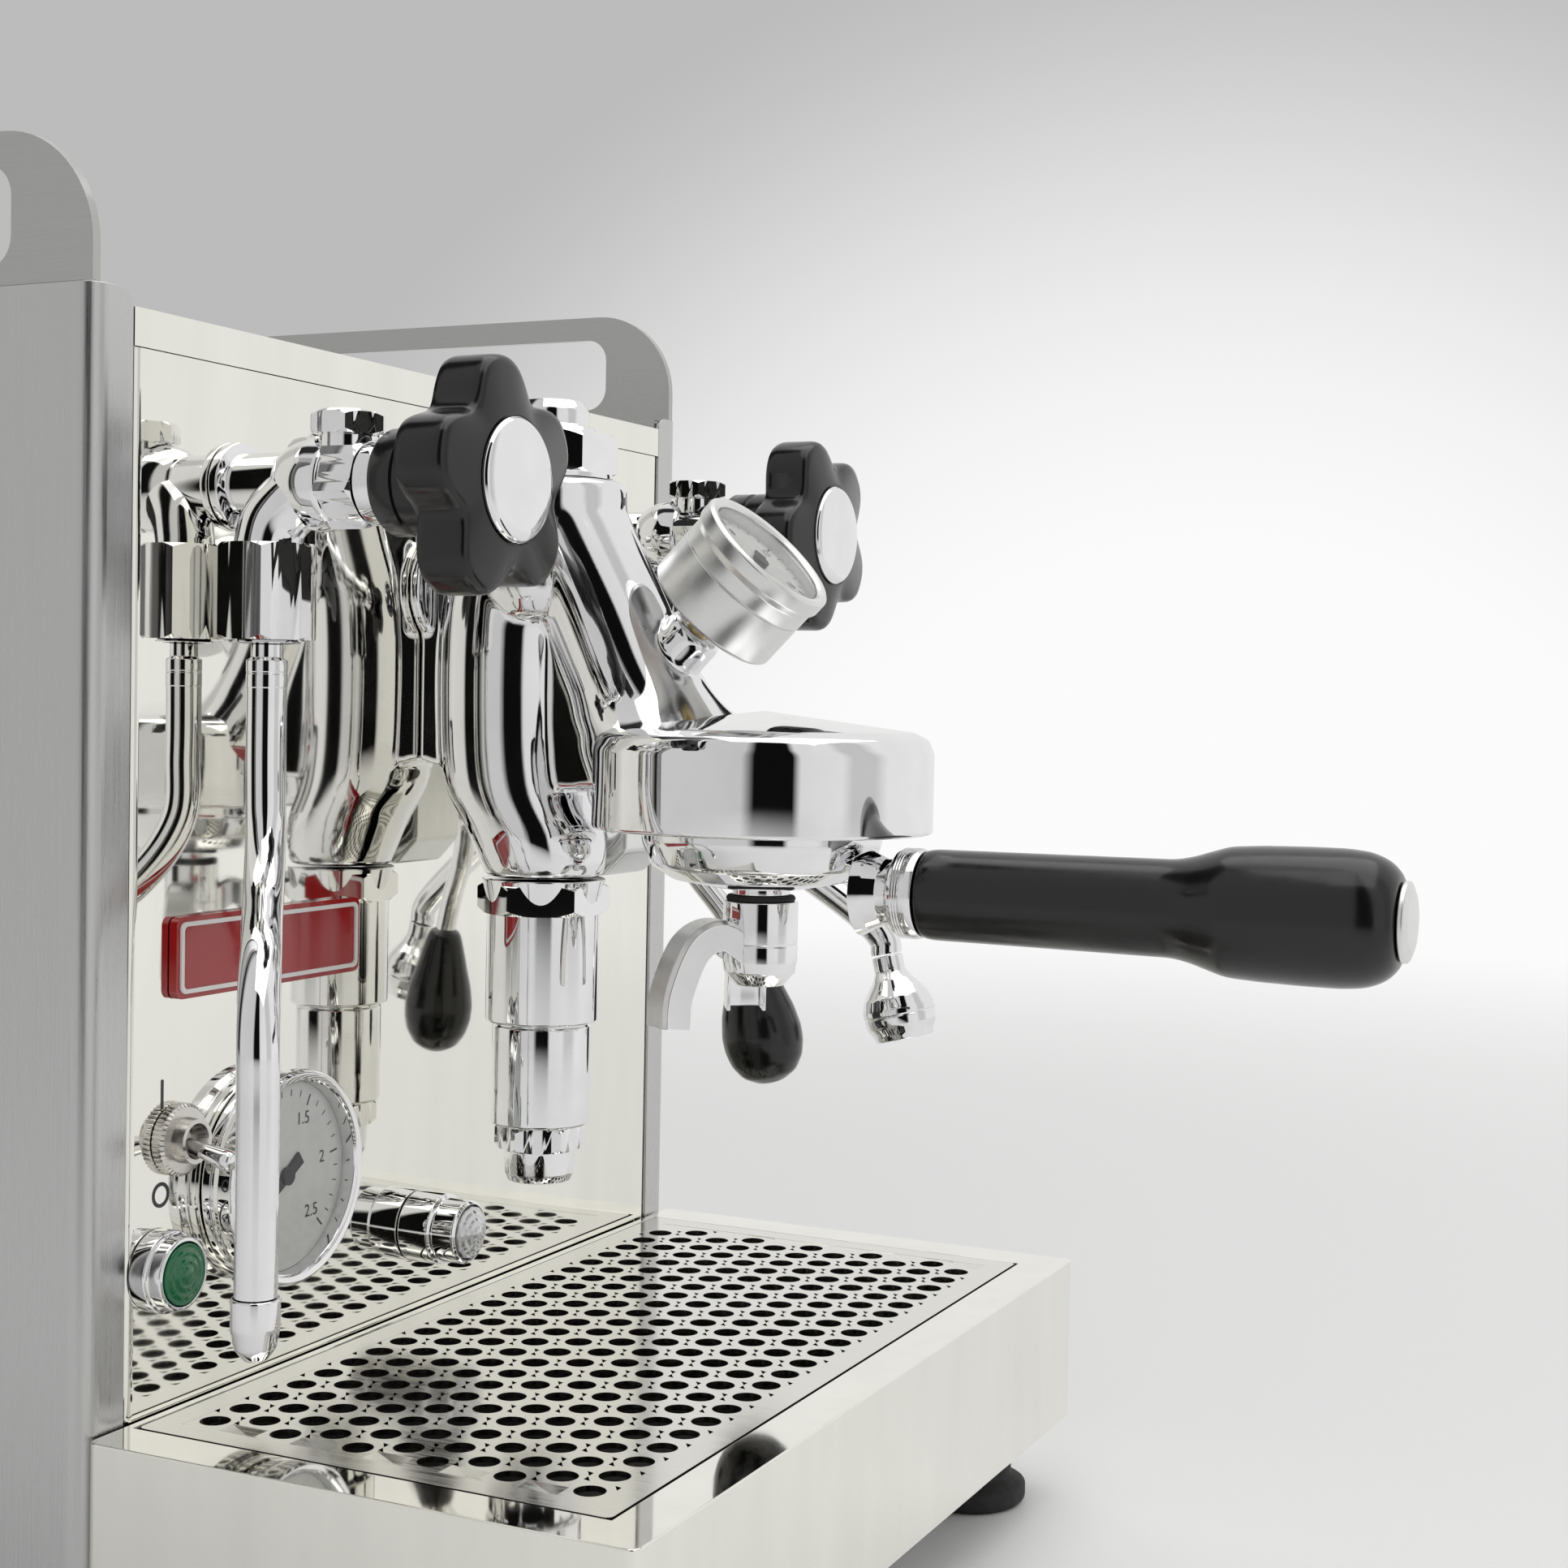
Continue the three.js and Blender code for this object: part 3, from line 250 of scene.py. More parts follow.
def side_plate(outline, x0, x1, holes=()):
    """Plate whose outline is drawn in Y and Z."""
    turn = Matrix(((0, 0, 1, 0), (1, 0, 0, 0), (0, 1, 0, 0), (0, 0, 0, 1)))
    return moved(plate(outline, x0, x1, holes), turn)


# ---------------------------------------------------------------- pieces

def place(point):
    x, y, z = point
    return (x * MM, y * MM + PLATE_Y, z * MM)


def finished(obj, bevel):
    mesh = obj.data
    work = bmesh.new()
    work.from_mesh(mesh)
    bmesh.ops.remove_doubles(work, verts=work.verts, dist=2e-6)
    bmesh.ops.dissolve_degenerate(work, edges=work.edges, dist=1e-6)
    bmesh.ops.recalc_face_normals(work, faces=work.faces)
    work.to_mesh(mesh)
    work.free()
    mesh.shade_smooth()
    mesh.set_sharp_from_angle(angle=SMOOTH_ANGLE)
    if bevel:
        edge = obj.modifiers.new("rounded_edges", "BEVEL")
        edge.width = bevel * MM
        edge.segments = 2
        edge.limit_method = "ANGLE"
        edge.angle_limit = SMOOTH_ANGLE
        edge.harden_normals = True
    return obj


def piece(name, material, shape, body=BODY, nodes=(), bevel=0.0):
    mesh = bpy.data.meshes.new(name)
    mesh.from_pydata([place(p) for p in shape[0]], [], shape[1])
    mesh.materials.append(material)
    obj = bpy.data.objects.new(name, mesh)
    bpy.context.collection.objects.link(obj)
    finished(obj, bevel)
    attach(obj, body)
    if nodes:
        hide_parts(*nodes)
    return obj


def refined(node, name, material, bevel, body=BODY):
    """Copy of a CAD node with clean flat faces and softened edges."""
    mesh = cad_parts[node].data.copy()
    mesh.name = name
    work = bmesh.new()
    work.from_mesh(mesh)
    bmesh.ops.remove_doubles(work, verts=work.verts, dist=5e-6)
    bmesh.ops.dissolve_limit(
        work, angle_limit=math.radians(2), verts=work.verts, edges=work.edges,
    )
    work.to_mesh(mesh)
    work.free()
    mesh.materials.clear()
    mesh.materials.append(material)
    obj = bpy.data.objects.new(name, mesh)
    bpy.context.collection.objects.link(obj)
    finished(obj, bevel)
    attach(obj, body)
    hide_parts(node)
    return obj


def casting(name, material, shape, nodes, voxel=0.9, rounds=9, body=BODY):
    """Blends overlapping shapes into one smooth poured form."""
    obj = piece(name, material, shape, body, nodes)
    remesh = obj.modifiers.new("pour", "REMESH")
    remesh.mode = "VOXEL"
    remesh.voxel_size = voxel * MM
    remesh.use_smooth_shade = True
    polish = obj.modifiers.new("polish", "SMOOTH")
    polish.factor = 0.5
    polish.iterations = rounds
    graph = bpy.context.evaluated_depsgraph_get()
    mesh = bpy.data.meshes.new_from_object(obj.evaluated_get(graph))
    obj.modifiers.clear()
    obj.data = mesh
    mesh.materials.clear()
    mesh.materials.append(material)
    mesh.shade_smooth()
    return obj


# ---------------------------------------------------------------- materials

def surface(name, color, metallic, roughness, spread, stretch, scale, bump, **sockets):
    """Principled surface whose roughness, tone and relief come from stretched noise."""
    material = bpy.data.materials.new(name)
    material.use_nodes = True
    tree = material.node_tree
    shader = tree.nodes["Principled BSDF"]
    shader.inputs["Metallic"].default_value = metallic
    for socket, value in sockets.items():
        shader.inputs[socket.replace("_", " ")].default_value = value
    where = tree.nodes.new("ShaderNodeTexCoord")
    mapping = tree.nodes.new("ShaderNodeMapping")
    mapping.inputs["Scale"].default_value = stretch
    noise = tree.nodes.new("ShaderNodeTexNoise")
    noise.inputs["Scale"].default_value = scale
    noise.inputs["Detail"].default_value = 5
    tree.links.new(where.outputs["Object"], mapping.inputs["Vector"])
    tree.links.new(mapping.outputs["Vector"], noise.inputs["Vector"])

    rough = tree.nodes.new("ShaderNodeMapRange")
    rough.inputs["From Min"].default_value = 0.3
    rough.inputs["From Max"].default_value = 0.7
    rough.inputs["To Min"].default_value = max(0.0, roughness - spread)
    rough.inputs["To Max"].default_value = roughness + spread
    tree.links.new(noise.outputs["Fac"], rough.inputs["Value"])
    tree.links.new(rough.outputs["Result"], shader.inputs["Roughness"])

    tone = tree.nodes.new("ShaderNodeValToRGB")
    tone.color_ramp.elements[0].position = 0.3
    tone.color_ramp.elements[1].position = 0.7
    tone.color_ramp.elements[0].color = (*[c * 0.94 for c in color], 1)
    tone.color_ramp.elements[1].color = (*color, 1)
    tree.links.new(noise.outputs["Fac"], tone.inputs["Fac"])
    tree.links.new(tone.outputs["Color"], shader.inputs["Base Color"])

    relief = tree.nodes.new("ShaderNodeBump")
    relief.inputs["Strength"].default_value = bump
    relief.inputs["Distance"].default_value = 0.0002
    tree.links.new(noise.outputs["Fac"], relief.inputs["Height"])
    tree.links.new(relief.outputs["Normal"], shader.inputs["Normal"])
    return material


def clear_cover(name):
    """Thin clear cover: see-through, with a sheen that grows towards its edge."""
    material = bpy.data.materials.new(name)
    material.use_nodes = True
    tree = material.node_tree
    tree.nodes.remove(tree.nodes["Principled BSDF"])
    gloss = tree.nodes.new("ShaderNodeBsdfGlossy")
    clear = tree.nodes.new("ShaderNodeBsdfTransparent")
    fresnel = tree.nodes.new("ShaderNodeFresnel")
    mix = tree.nodes.new("ShaderNodeMixShader")
    smudge = tree.nodes.new("ShaderNodeTexNoise")
    spread = tree.nodes.new("ShaderNodeMapRange")
    smudge.inputs["Scale"].default_value = 140
    spread.inputs["To Min"].default_value = 0.01
    spread.inputs["To Max"].default_value = 0.09
    fresnel.inputs["IOR"].default_value = 1.45
    tree.links.new(smudge.outputs["Fac"], spread.inputs["Value"])
    tree.links.new(spread.outputs["Result"], gloss.inputs["Roughness"])
    tree.links.new(fresnel.outputs["Fac"], mix.inputs["Fac"])
    tree.links.new(clear.outputs["BSDF"], mix.inputs[1])
    tree.links.new(gloss.outputs["BSDF"], mix.inputs[2])
    tree.links.new(mix.outputs["Shader"], tree.nodes["Material Output"].inputs["Surface"])
    return material


EVEN = (1, 1, 1)
UPRIGHT_GRAIN = (60, 60, 1)
LENGTH_GRAIN = (60, 1, 60)

CHROME = surface("chrome", (0.90, 0.90, 0.91), 1, 0.035, 0.02, EVEN, 90, 0.015)
CAST_CHROME = surface("cast_chrome", (0.88, 0.88, 0.89), 1, 0.05, 0.025, EVEN, 55, 0.05)
MIRROR = surface("mirror_steel", (0.93, 0.92, 0.86), 1, 0.035, 0.02, (1, 1, 0.2), 60, 0.01)
BRUSHED = surface("brushed_steel", (0.60, 0.60, 0.60), 1, 0.30, 0.07, UPRIGHT_GRAIN, 24, 0.12)
RAIL_STEEL = surface("rail_steel", (0.50, 0.50, 0.49), 1, 0.25, 0.03, LENGTH_GRAIN, 60, 0.03)
SATIN = surface("satin_steel", (0.72, 0.70, 0.66), 1, 0.24, 0.06, (1, 1, 30), 60, 0.10)
PLAIN_SATIN = surface("plain_satin", (0.82, 0.82, 0.81), 1, 0.30, 0.03, EVEN, 200, 0.03)
GRATE = surface("grate_steel", (0.80, 0.79, 0.74), 1, 0.14, 0.05, LENGTH_GRAIN, 20, 0.05)
# Rougher steel for the inside of the drip tray; its dark colour is painted shade, standing in for the shade
# deep in the tray.
SHADED_TRAY_INSIDE = surface("tray_inside_painted_shade", (0.20, 0.20, 0.19), 1, 0.42, 0.08, EVEN, 90, 0.1)
BRASS = surface("brass", (0.70, 0.54, 0.28), 1, 0.30, 0.08, EVEN, 80, 0.10)
COPPER = surface("copper", (0.72, 0.42, 0.27), 1, 0.32, 0.08, EVEN, 80, 0.10)
RESIN = surface("black_resin", (0.006, 0.006, 0.0065), 0, 0.20, 0.04, EVEN, 260, 0.04, Coat_Weight=0.06)
RUBBER = surface("black_rubber", (0.02, 0.02, 0.02), 0, 0.75, 0.10, EVEN, 400, 0.35)
ENAMEL = surface("red_enamel", (0.36, 0.012, 0.012), 0, 0.10, 0.04, EVEN, 120, 0.03, Coat_Weight=0.5)
BORDER = surface("white_border", (0.80, 0.78, 0.76), 0, 0.20, 0.05, EVEN, 120, 0.03)
DIAL = surface("dial_face", (0.84, 0.85, 0.82), 0, 0.42, 0.05, EVEN, 300, 0.03)
INK = surface("dial_ink", (0.05, 0.05, 0.055), 0, 0.45, 0.05, EVEN, 300, 0.02)
GREEN = surface("green_lens", (0.0, 0.13, 0.045), 0, 0.08, 0.03, EVEN, 90, 0.05, Coat_Weight=0.6)
CLEAR_LENS = surface("clear_lens", (0.72, 0.73, 0.73), 0.6, 0.06, 0.03, EVEN, 120, 0.05, Coat_Weight=1.0)
TANK = surface("tank_plastic", (0.76, 0.80, 0.82), 0, 0.32, 0.06, EVEN, 120, 0.05)
CASING_GREY = surface("grey_casing", (0.30, 0.30, 0.29), 0, 0.60, 0.08, EVEN, 300, 0.20)
COVER = clear_cover("gauge_cover")


# ---------------------------------------------------------------- casing

def casing():
    for node in ("left_side_panel", "right_side_panel", "rear_panel", "base_frame"):
        refined(node, node + "_sheet", BRUSHED, 0.35)
    refined("cup_tray", "cup_tray_sheet", MIRROR, 0.3)
    refined("tank_lid", "tank_lid_sheet", MIRROR, 0.3, body="tank_lid")
    for name, x, y in (("front_left", -130, -135), ("front_right", 130, -135),
                       ("rear_left", -130, 255), ("rear_right", 130, 255)):
        sole = turned([(0, 0), (17, 0), (19, 2), (19, 7), (14, 10), (14, 22), (0, 22)], soft=1.0)
        piece(name + "_pad", RUBBER, shifted(sole, x, y, 0), nodes=[name + "_foot"])


def front_plate():
    """Polished plate with its long edges folded back."""
    half, bottom, top, fold = 141.8, 68, 360.4, 3.0
    outer = [(-half, 14), (-half, fold)]
    outer += [(-half + fold - fold * math.cos(a), fold - fold * math.sin(a))
              for a in [math.pi / 2 * i / 8 for i in range(1, 9)]]
    outer += [(-x, y) for x, y in reversed(outer)]
    inner = [(x * (half - 1.5) / half, y + (1.5 if y < 10 else 0)) for x, y in reversed(outer)]
    piece("front_plate", MIRROR, plate(outer + inner, bottom, top), nodes=["front_panel"])


def cup_rail():
    half, front, back, top, corner = 155.7, 1.8, 282.2, 414.7, 30
    arc = [(front + corner - corner * math.sin(a), top - corner + corner * math.cos(a))
           for a in [math.pi / 2 * i / 14 for i in range(15)]]
    outline = [(front, 375.3), (front + 6, 375.3), (front + 6, 358.7), (back - 6, 358.7),
               (back - 6, 375.3), (back, 375.3), (back, top)] + arc
    window = rounded_rectangle(front + 27, 380, back - 27, 406.2, 8)
    sides = [side_plate(outline, x, x + 3, [window]) for x in (-half, half - 3)]
    rear = plate(rounded_rectangle(-half, 375.3, half, top, 0.2, 1), 0, 3,
                 [rounded_rectangle(-half + 27, 380, half - 27, 406.2, 8)])
    piece("rail_bar", RAIL_STEEL, joined(*sides, turned_to("-Y", rear, (0, back, 0))),
          nodes=["cup_rail"], bevel=0.4)


def badge():
    """Plain enamel plate with a white border and no lettering."""
    base = plate(rounded_rectangle(-41, -11, 41, 11, 2.5), 0.3, 2.8)
    piece("badge_plate", ENAMEL, turned_to("-Y", base, (-85.4, 0, 201)), nodes=["badge"],
          bevel=0.4)
    line = plate(rounded_rectangle(-39.6, -9.6, 39.6, 9.6, 2), 2.7, 3.4,
                 [rounded_rectangle(-38.4, -8.4, 38.4, 8.4, 1.4)])
    piece("badge_border", BORDER, turned_to("-Y", line, (-85.4, 0, 201)), bevel=0.15)


# ---------------------------------------------------------------- tray and grate

def perforated(x0, x1, y0, y1, rows, pitch, radius, z):
    """Flat sheet with staggered round holes, made of one strip per row."""
    points, faces, count = [], [], 24
    depth = (y1 - y0) / rows
    for row in range(rows):
        low, high = y0 + row * depth, y0 + (row + 1) * depth
        shift = pitch / 2 if row % 2 else 0
        cells = int((x1 - x0 - shift) // pitch)
        left = x0 + shift
        edges = [(x0, left), (left + cells * pitch, x1)]
        for a, b in edges:
            if b - a < 0.01:
                continue
            start = len(points)
            points += [(a, low, z), (b, low, z), (b, high, z), (a, high, z)]
            faces.append((start, start + 1, start + 2, start + 3))
        for cell in range(cells):
            cx, cy = left + (cell + 0.5) * pitch, (low + high) / 2
            start = len(points)
            for i in range(count):
                angle = 2 * math.pi * i / count
                dx, dy = math.cos(angle), math.sin(angle)
                reach = min(pitch / 2 / max(abs(dx), 1e-6), depth / 2 / max(abs(dy), 1e-6))
                points.append((cx + dx * radius, cy + dy * radius, z))
                points.append((cx + dx * reach, cy + dy * reach, z))
            for i in range(count):
                n = (i + 1) % count
                faces.append((start + 2 * i, start + 2 * i + 1, start + 2 * n + 1, start + 2 * n))
            for qx, qy, i in ((1, 1, 3), (-1, 1, 9), (-1, -1, 15), (1, -1, 21)):
                corner = len(points)
                points.append((cx + qx * pitch / 2, cy + qy * depth / 2, z))
                near = [start + 2 * k + 1 for k in ((i - 1) % count, i, (i + 1) % count)]
                on_x = [k for k in near if abs(abs(points[k][0] - cx) - pitch / 2) < 1e-4]
                on_y = [k for k in near if abs(abs(points[k][1] - cy) - depth / 2) < 1e-4]
                if on_x and on_y and on_x[-1] != on_y[0]:
                    faces.append((on_x[-1], corner, on_y[0]))
    return points, faces


def tray():
    shell = refined("drip_tray", "tray_shell", MIRROR, 0.5, body="drip_tray")
    shell.data.materials.append(SHADED_TRAY_INSIDE)
    # Faces inside the tray, below the rim, take the rougher inside steel, whose dark colour is painted
    # shade.
    for face in shell.data.polygons:
        x, y, z = face.center.x / MM, (face.center.y - PLATE_Y) / MM, face.center.z / MM
        face.material_index = int(abs(x) < 156.2 and -160 < y < -2.3 and 26 < z < 78)
    x, y0, y1, top, margin = 141.9, -145.6, -4.6, 80.0, 8
    holes = perforated(-x + margin, x - margin, y0 + margin, y1 - margin, 11, 12.4, 4.1, top - 0.8)
    rim = plate(rounded_rectangle(-x, y0, x, y1, 2), top - 1.6, top,
                [rounded_rectangle(-x + margin, y0 + margin, x - margin, y1 - margin, 0.2, 1)])
    skirt = plate(rounded_rectangle(-x, y0, x, y1, 2), 76, top - 1,
                  [rounded_rectangle(-x + 1.5, y0 + 1.5, x - 1.5, y1 - 1.5, 1)])
    sheet = piece("grate_sheet", GRATE, holes, body="drip_grate")
    sheet.data.shade_flat()
    thick = sheet.modifiers.new("thickness", "SOLIDIFY")
    thick.thickness = 1.5 * MM
    thick.offset = 0
    piece("grate_rim", GRATE, joined(rim, skirt), body="drip_grate", nodes=["drip_grate"],
          bevel=0.3)


# ---------------------------------------------------------------- brew group

def on_nose(shape):
    """Stands a shape on the sloping seat of the group's gauge."""
    tilt = Matrix.Translation((0, -95.4, 297.4)) @ Matrix.Rotation(math.radians(45), 4, "X")
    return moved(shape, tilt)


def group_casting():
    """Poured body between the plate, the valve column and the bell."""
    backing = [(-0.3, 252), (-0.3, 326), (-20, 330), (-60, 320), (-100, 262), (-100, 246), (-30, 244)]
    web = side_plate(backing, -11, 11)
    chamber = turned([(0, 296), (20, 296), (23.5, 304), (23.5, GROUP_TOP_Z - 2),
                      (21.5, GROUP_TOP_Z), (0, GROUP_TOP_Z)], soft=2)
    column = leaning([(217.4, GROUP_Y, 17.6), (222, GROUP_Y + 0.5, 19.4), (232, -36, 21.3),
                      (246, -29, 22), (270, -27, 22), (300, -28, 22), (320, -34, 22), (332, -38, 22)])
    limb = leaning([(247, -96, 34), (256, -92, 33.5), (261, -87, 29.5), (266, -80, 25), (273, -74, 21.5),
                    (284, -67, 20), (300, -59, 20), (314, -51, 20.5), (328, -43, 21)])
    boss = turned([(0, -24), (9, -24), (9, -7), (7.6, -5.2), (0, -5.2)], soft=1)
    flange = turned_to("+Y", rod(18, -4, 0), (0, 0, 305))
    seat = turned_to("+X", rod(15, 8, 24, 1), (0, GROUP_Y, HUB_Z))
    shape = joined(web, shifted(chamber, 0, GROUP_Y, 0), column, limb, on_nose(boss), flange, seat)
    casting("group_casting", CAST_CHROME, shape, ["group_body"], rounds=14)


def bell():
    shell = turned([
        (0, 255), (33, 255), (33, 247), (43, 247), (43, 238.5), (37.5, 238.5), (37.5, 234.5),
        (50, 234.5), (50, 258), (48.2, 262), (44, 264), (0, 269.5),
    ], 128, 1.2)
    piece("bell_shell", CHROME, shifted(shell, 0, BELL_Y, 0))


def group_column():
    clocked = Matrix.Rotation(GROUP_CLOCKING, 4, "Z")
    nut = joined(
        moved(hexagon(20.5, 339.2, 352), clocked), rod(19, 338.3, 340),
        turned([(0, 351), (15, 351), (13, 354), (11.5, 354.5), (11.5, 359), (9.5, 362), (0, 362.5)]),
    )
    piece("top_nut", CHROME, shifted(nut, 0, GROUP_Y, 0), nodes=["group_top_nut"])
    chamber = joined(
        turned([(0, 141.2), (14.6, 141.2), (15.05, 141.8), (15.05, 171.4), (14.4, 172), (14.4, 172.6),
                (16.8, 172.8), (17.25, 173.4), (17.25, 208), (19, 216.7), (0, 216.7)], soft=0.5),
        moved(hexagon(20.3, 206, 215.6), clocked),
    )
    piece("chamber_sleeves", CHROME, shifted(chamber, 0, GROUP_Y, 0), nodes=["preinfusion_chamber"])
    discharge = joined(
        moved(hexagon(13.95, 133.5, 140.9), clocked),
        turned([(0, 123.7), (9.6, 123.7), (10.6, 126), (11, 133), (11, 134), (0, 134)]),
    )
    piece("discharge_fitting", CHROME, shifted(discharge, 0, GROUP_Y, 0), nodes=["discharge_nut"])


def lever():
    front, back, low, high, chamfer = GROUP_Y - 15, GROUP_Y + 15, HUB_Z - 20, HUB_Z + 20, 8
    block = [(front, low + chamfer), (front + chamfer, low), (back - chamfer, low),
             (back, low + chamfer), (back, high), (front, high)]
    piece("cam_housing", PLAIN_SATIN, side_plate(block, 24.3, 51.9), nodes=["lever_hub"],
          bevel=1.4)
    arm = pipe([(46, GROUP_Y, HUB_Z), (58, GROUP_Y, HUB_Z), (72, GROUP_Y, HUB_Z - 1),
                (82, -41, HUB_Z - 8), (87.8, -46, 214), (94.5, -54.5, 200), (98.8, -60.4, 187.5)], 4)
    piece("lever_arm", CHROME, arm, "brew_lever", ["brew_lever"])
    drop = turned([(0, 0), (5.5, 0), (6.8, 2), (8.7, 8), (10.4, 14), (12.6, 21), (13.8, 28), (13.6, 33),
                   (12.3, 38), (9.4, 42.5), (4.8, 45.2), (0, 46)], soft=1.5)
    lean, swing = 180 - math.degrees(math.atan2(7, 40)), -math.degrees(math.atan2(4.5, 40))
    turn = Matrix.Rotation(math.radians(swing), 4, "Y") @ Matrix.Rotation(math.radians(lean), 4, "X")
    drop = moved(drop, Matrix.Translation((99.1, -60.9, 186.2)) @ turn)
    piece("lever_drop", RESIN, drop, "brew_lever", ["brew_lever_knob"])


# ---------------------------------------------------------------- gauges

def flat_text(words, size, x, y, z):
    """Numerals as a flat mesh in the dial's own plane."""
    curve = bpy.data.curves.new("numeral", "FONT")
    curve.body = words
    curve.size = size
    curve.align_x = "CENTER"
    curve.align_y = "CENTER"
    holder = bpy.data.objects.new("numeral", curve)
    bpy.context.collection.objects.link(holder)
    bpy.context.view_layer.update()
    mesh = bpy.data.meshes.new_from_object(holder)
    points = [(v.co.x + x, v.co.y + y, z) for v in mesh.vertices]
    faces = [tuple(p.vertices) for p in mesh.polygons]
    bpy.data.objects.remove(holder)
    bpy.data.meshes.remove(mesh)
    return points, faces


def dial_print(radius, z, numerals):
    """Scale ticks and plain numerals round three quarters of the dial."""
    shapes = []
    steps = (len(numerals) - 1) * 5
    for i in range(steps + 1):
        angle = math.radians(225 - 270 * i / steps)
        long = i % 5 == 0
        outer, inner = radius * 0.80, radius * (0.69 if long else 0.74)
        width = 0.28 if long else 0.16
        ray = Vector((math.cos(angle), math.sin(angle)))
        side = Vector((-ray.y, ray.x)) * width
        corners = [ray * outer + side, ray * outer - side, ray * inner - side, ray * inner + side]
        shapes.append(([(c.x, c.y, z) for c in corners], [(0, 1, 2, 3)]))
    for i, word in enumerate(numerals):
        angle = math.radians(225 - 270 * i / (len(numerals) - 1))
        reach = radius * 0.56
        shapes.append(flat_text(word, radius * 0.17, reach * math.cos(angle), reach * math.sin(angle), z))
    return joined(*shapes)


def gauge(name, radius, depth, numerals, fit, case_nodes, lens_node, stem, grip, finish):
    case = turned([
        (0, 0), (radius - 2, 0), (radius - 1, 1), (radius - 1, depth * grip), (radius - 1.5, depth * grip),
        (radius - 1.5, depth * grip + 0.5), (radius - 1, depth * grip + 0.5), (radius - 1, depth - 7),
        (radius, depth - 5), (radius, depth - 1), (radius - 1, depth), (radius - 2.6, depth - 0.4),
        (radius - 3.5, depth - 1.2), (radius - 3.5, depth - 5.5), (0, depth - 5.5),
    ], 128, 0.3)
    piece(name + "_shell", finish, fit(case), nodes=case_nodes)
    piece(name + "_stem", BRASS, fit(stem))
    face = turned([(0, depth - 5.45), (radius - 3.6, depth - 5.45), (radius - 3.6, depth - 5.3),
                   (0, depth - 5.3)], soft=0)
    piece(name + "_dial", DIAL, fit(face))
    piece(name + "_print", INK, fit(dial_print(radius, depth - 5.2, numerals)))
    lens = turned([(0, depth - 0.6), (radius * 0.5, depth - 0.75), (radius - 3.9, depth - 1.5)], soft=0)
    piece(name + "_cover", COVER, fit(lens), nodes=[lens_node])


def gauges():
    def on_plate(shape):
        return turned_to("-Y", shape, (-84, -0.3, 136))

    gauge("boiler_gauge", 30.3, 12, ["0", "0.5", "1", "1.5", "2", "2.5"], on_plate,
          ["boiler_gauge_case"], "boiler_gauge_lens", rod(9, -24, 1), 0.3, CHROME)
    gauge("group_gauge", 22.5, 27, ["0", "4", "8", "12", "16"], on_nose,
          ["group_gauge_case"], "group_gauge_lens", rod(4.3, -12, 1), 0.55, PLAIN_SATIN)


# ---------------------------------------------------------------- portafilter

def portafilter():
    cup = turned([(0, 217.5), (12, 217.5), (26, 220), (32.5, 224), (35.3, 231), (35.3, 245),
                  (31.5, 245), (31.5, 226), (26, 222.6), (0, 220.5)], 128, 1.2)
    boss = turned([(0, 215), (8, 215), (8.5, 215.6), (8.5, 219), (0, 219)])
    neck = turned([(0, 33), (13, 33), (11.2, 36), (9.5, 40), (9.5, 43), (12.2, 44.5), (13, 46),
                   (12.7, 46.4), (13, 46.8), (12.7, 47.2), (13, 47.6), (12.7, 48), (13, 48.4),
                   (13, 50), (12.5, 52), (0, 52)], soft=0.25)
    shape = joined(shifted(cup, 0, BELL_Y, 0), shifted(boss, 0, BELL_Y, 0),
                   turned_to("-Y", neck, (0, BELL_Y, HANDLE_Z)))
    piece("portafilter_cup", CHROME, shape, "portafilter", ["portafilter_body"])
    grip = turned([(0, 165.8), (12.4, 165.8), (12.9, 168.8), (13.1, 200), (13.4, 238), (14.4, 243),
                   (16.2, 248.5), (17.6, 253), (18.2, 262), (18.5, 274), (18.5, 284), (17.8, 290.5),
                   (15.6, 295.4), (12, 298.6), (0, 298.6)], 128, 2.5)
    piece("portafilter_grip", RESIN, turned_to("-Y", grip, (0, 0, HANDLE_Z)), "portafilter",
          ["portafilter_handle"])
    disc = turned([(0, 298.9), (10.8, 298.9), (10.8, 300.4), (8, 301.5), (0, 302)], soft=0.5)
    piece("grip_disc", PLAIN_SATIN, turned_to("-Y", disc, (0, 0, HANDLE_Z)), "portafilter",
          ["portafilter_end_cap"])


def satin_band(spouts):
    """The broad outer face of each arm is satin; the rest is polished."""
    hub_reach, outward = 11.5, 0.85
    spouts.data.materials.append(PLAIN_SATIN)
    for face in spouts.data.polygons:
        out = Vector((face.center.x / MM, (face.center.y - PLATE_Y) / MM - BELL_Y)).length
        if out < hub_reach:
            continue
        away = Vector((face.center.x, face.center.y - PLATE_Y - BELL_Y * MM)).normalized()
        lift = face.normal.z + face.normal.x * away.x + face.normal.y * away.y
        if lift > outward:
            face.material_index = 1


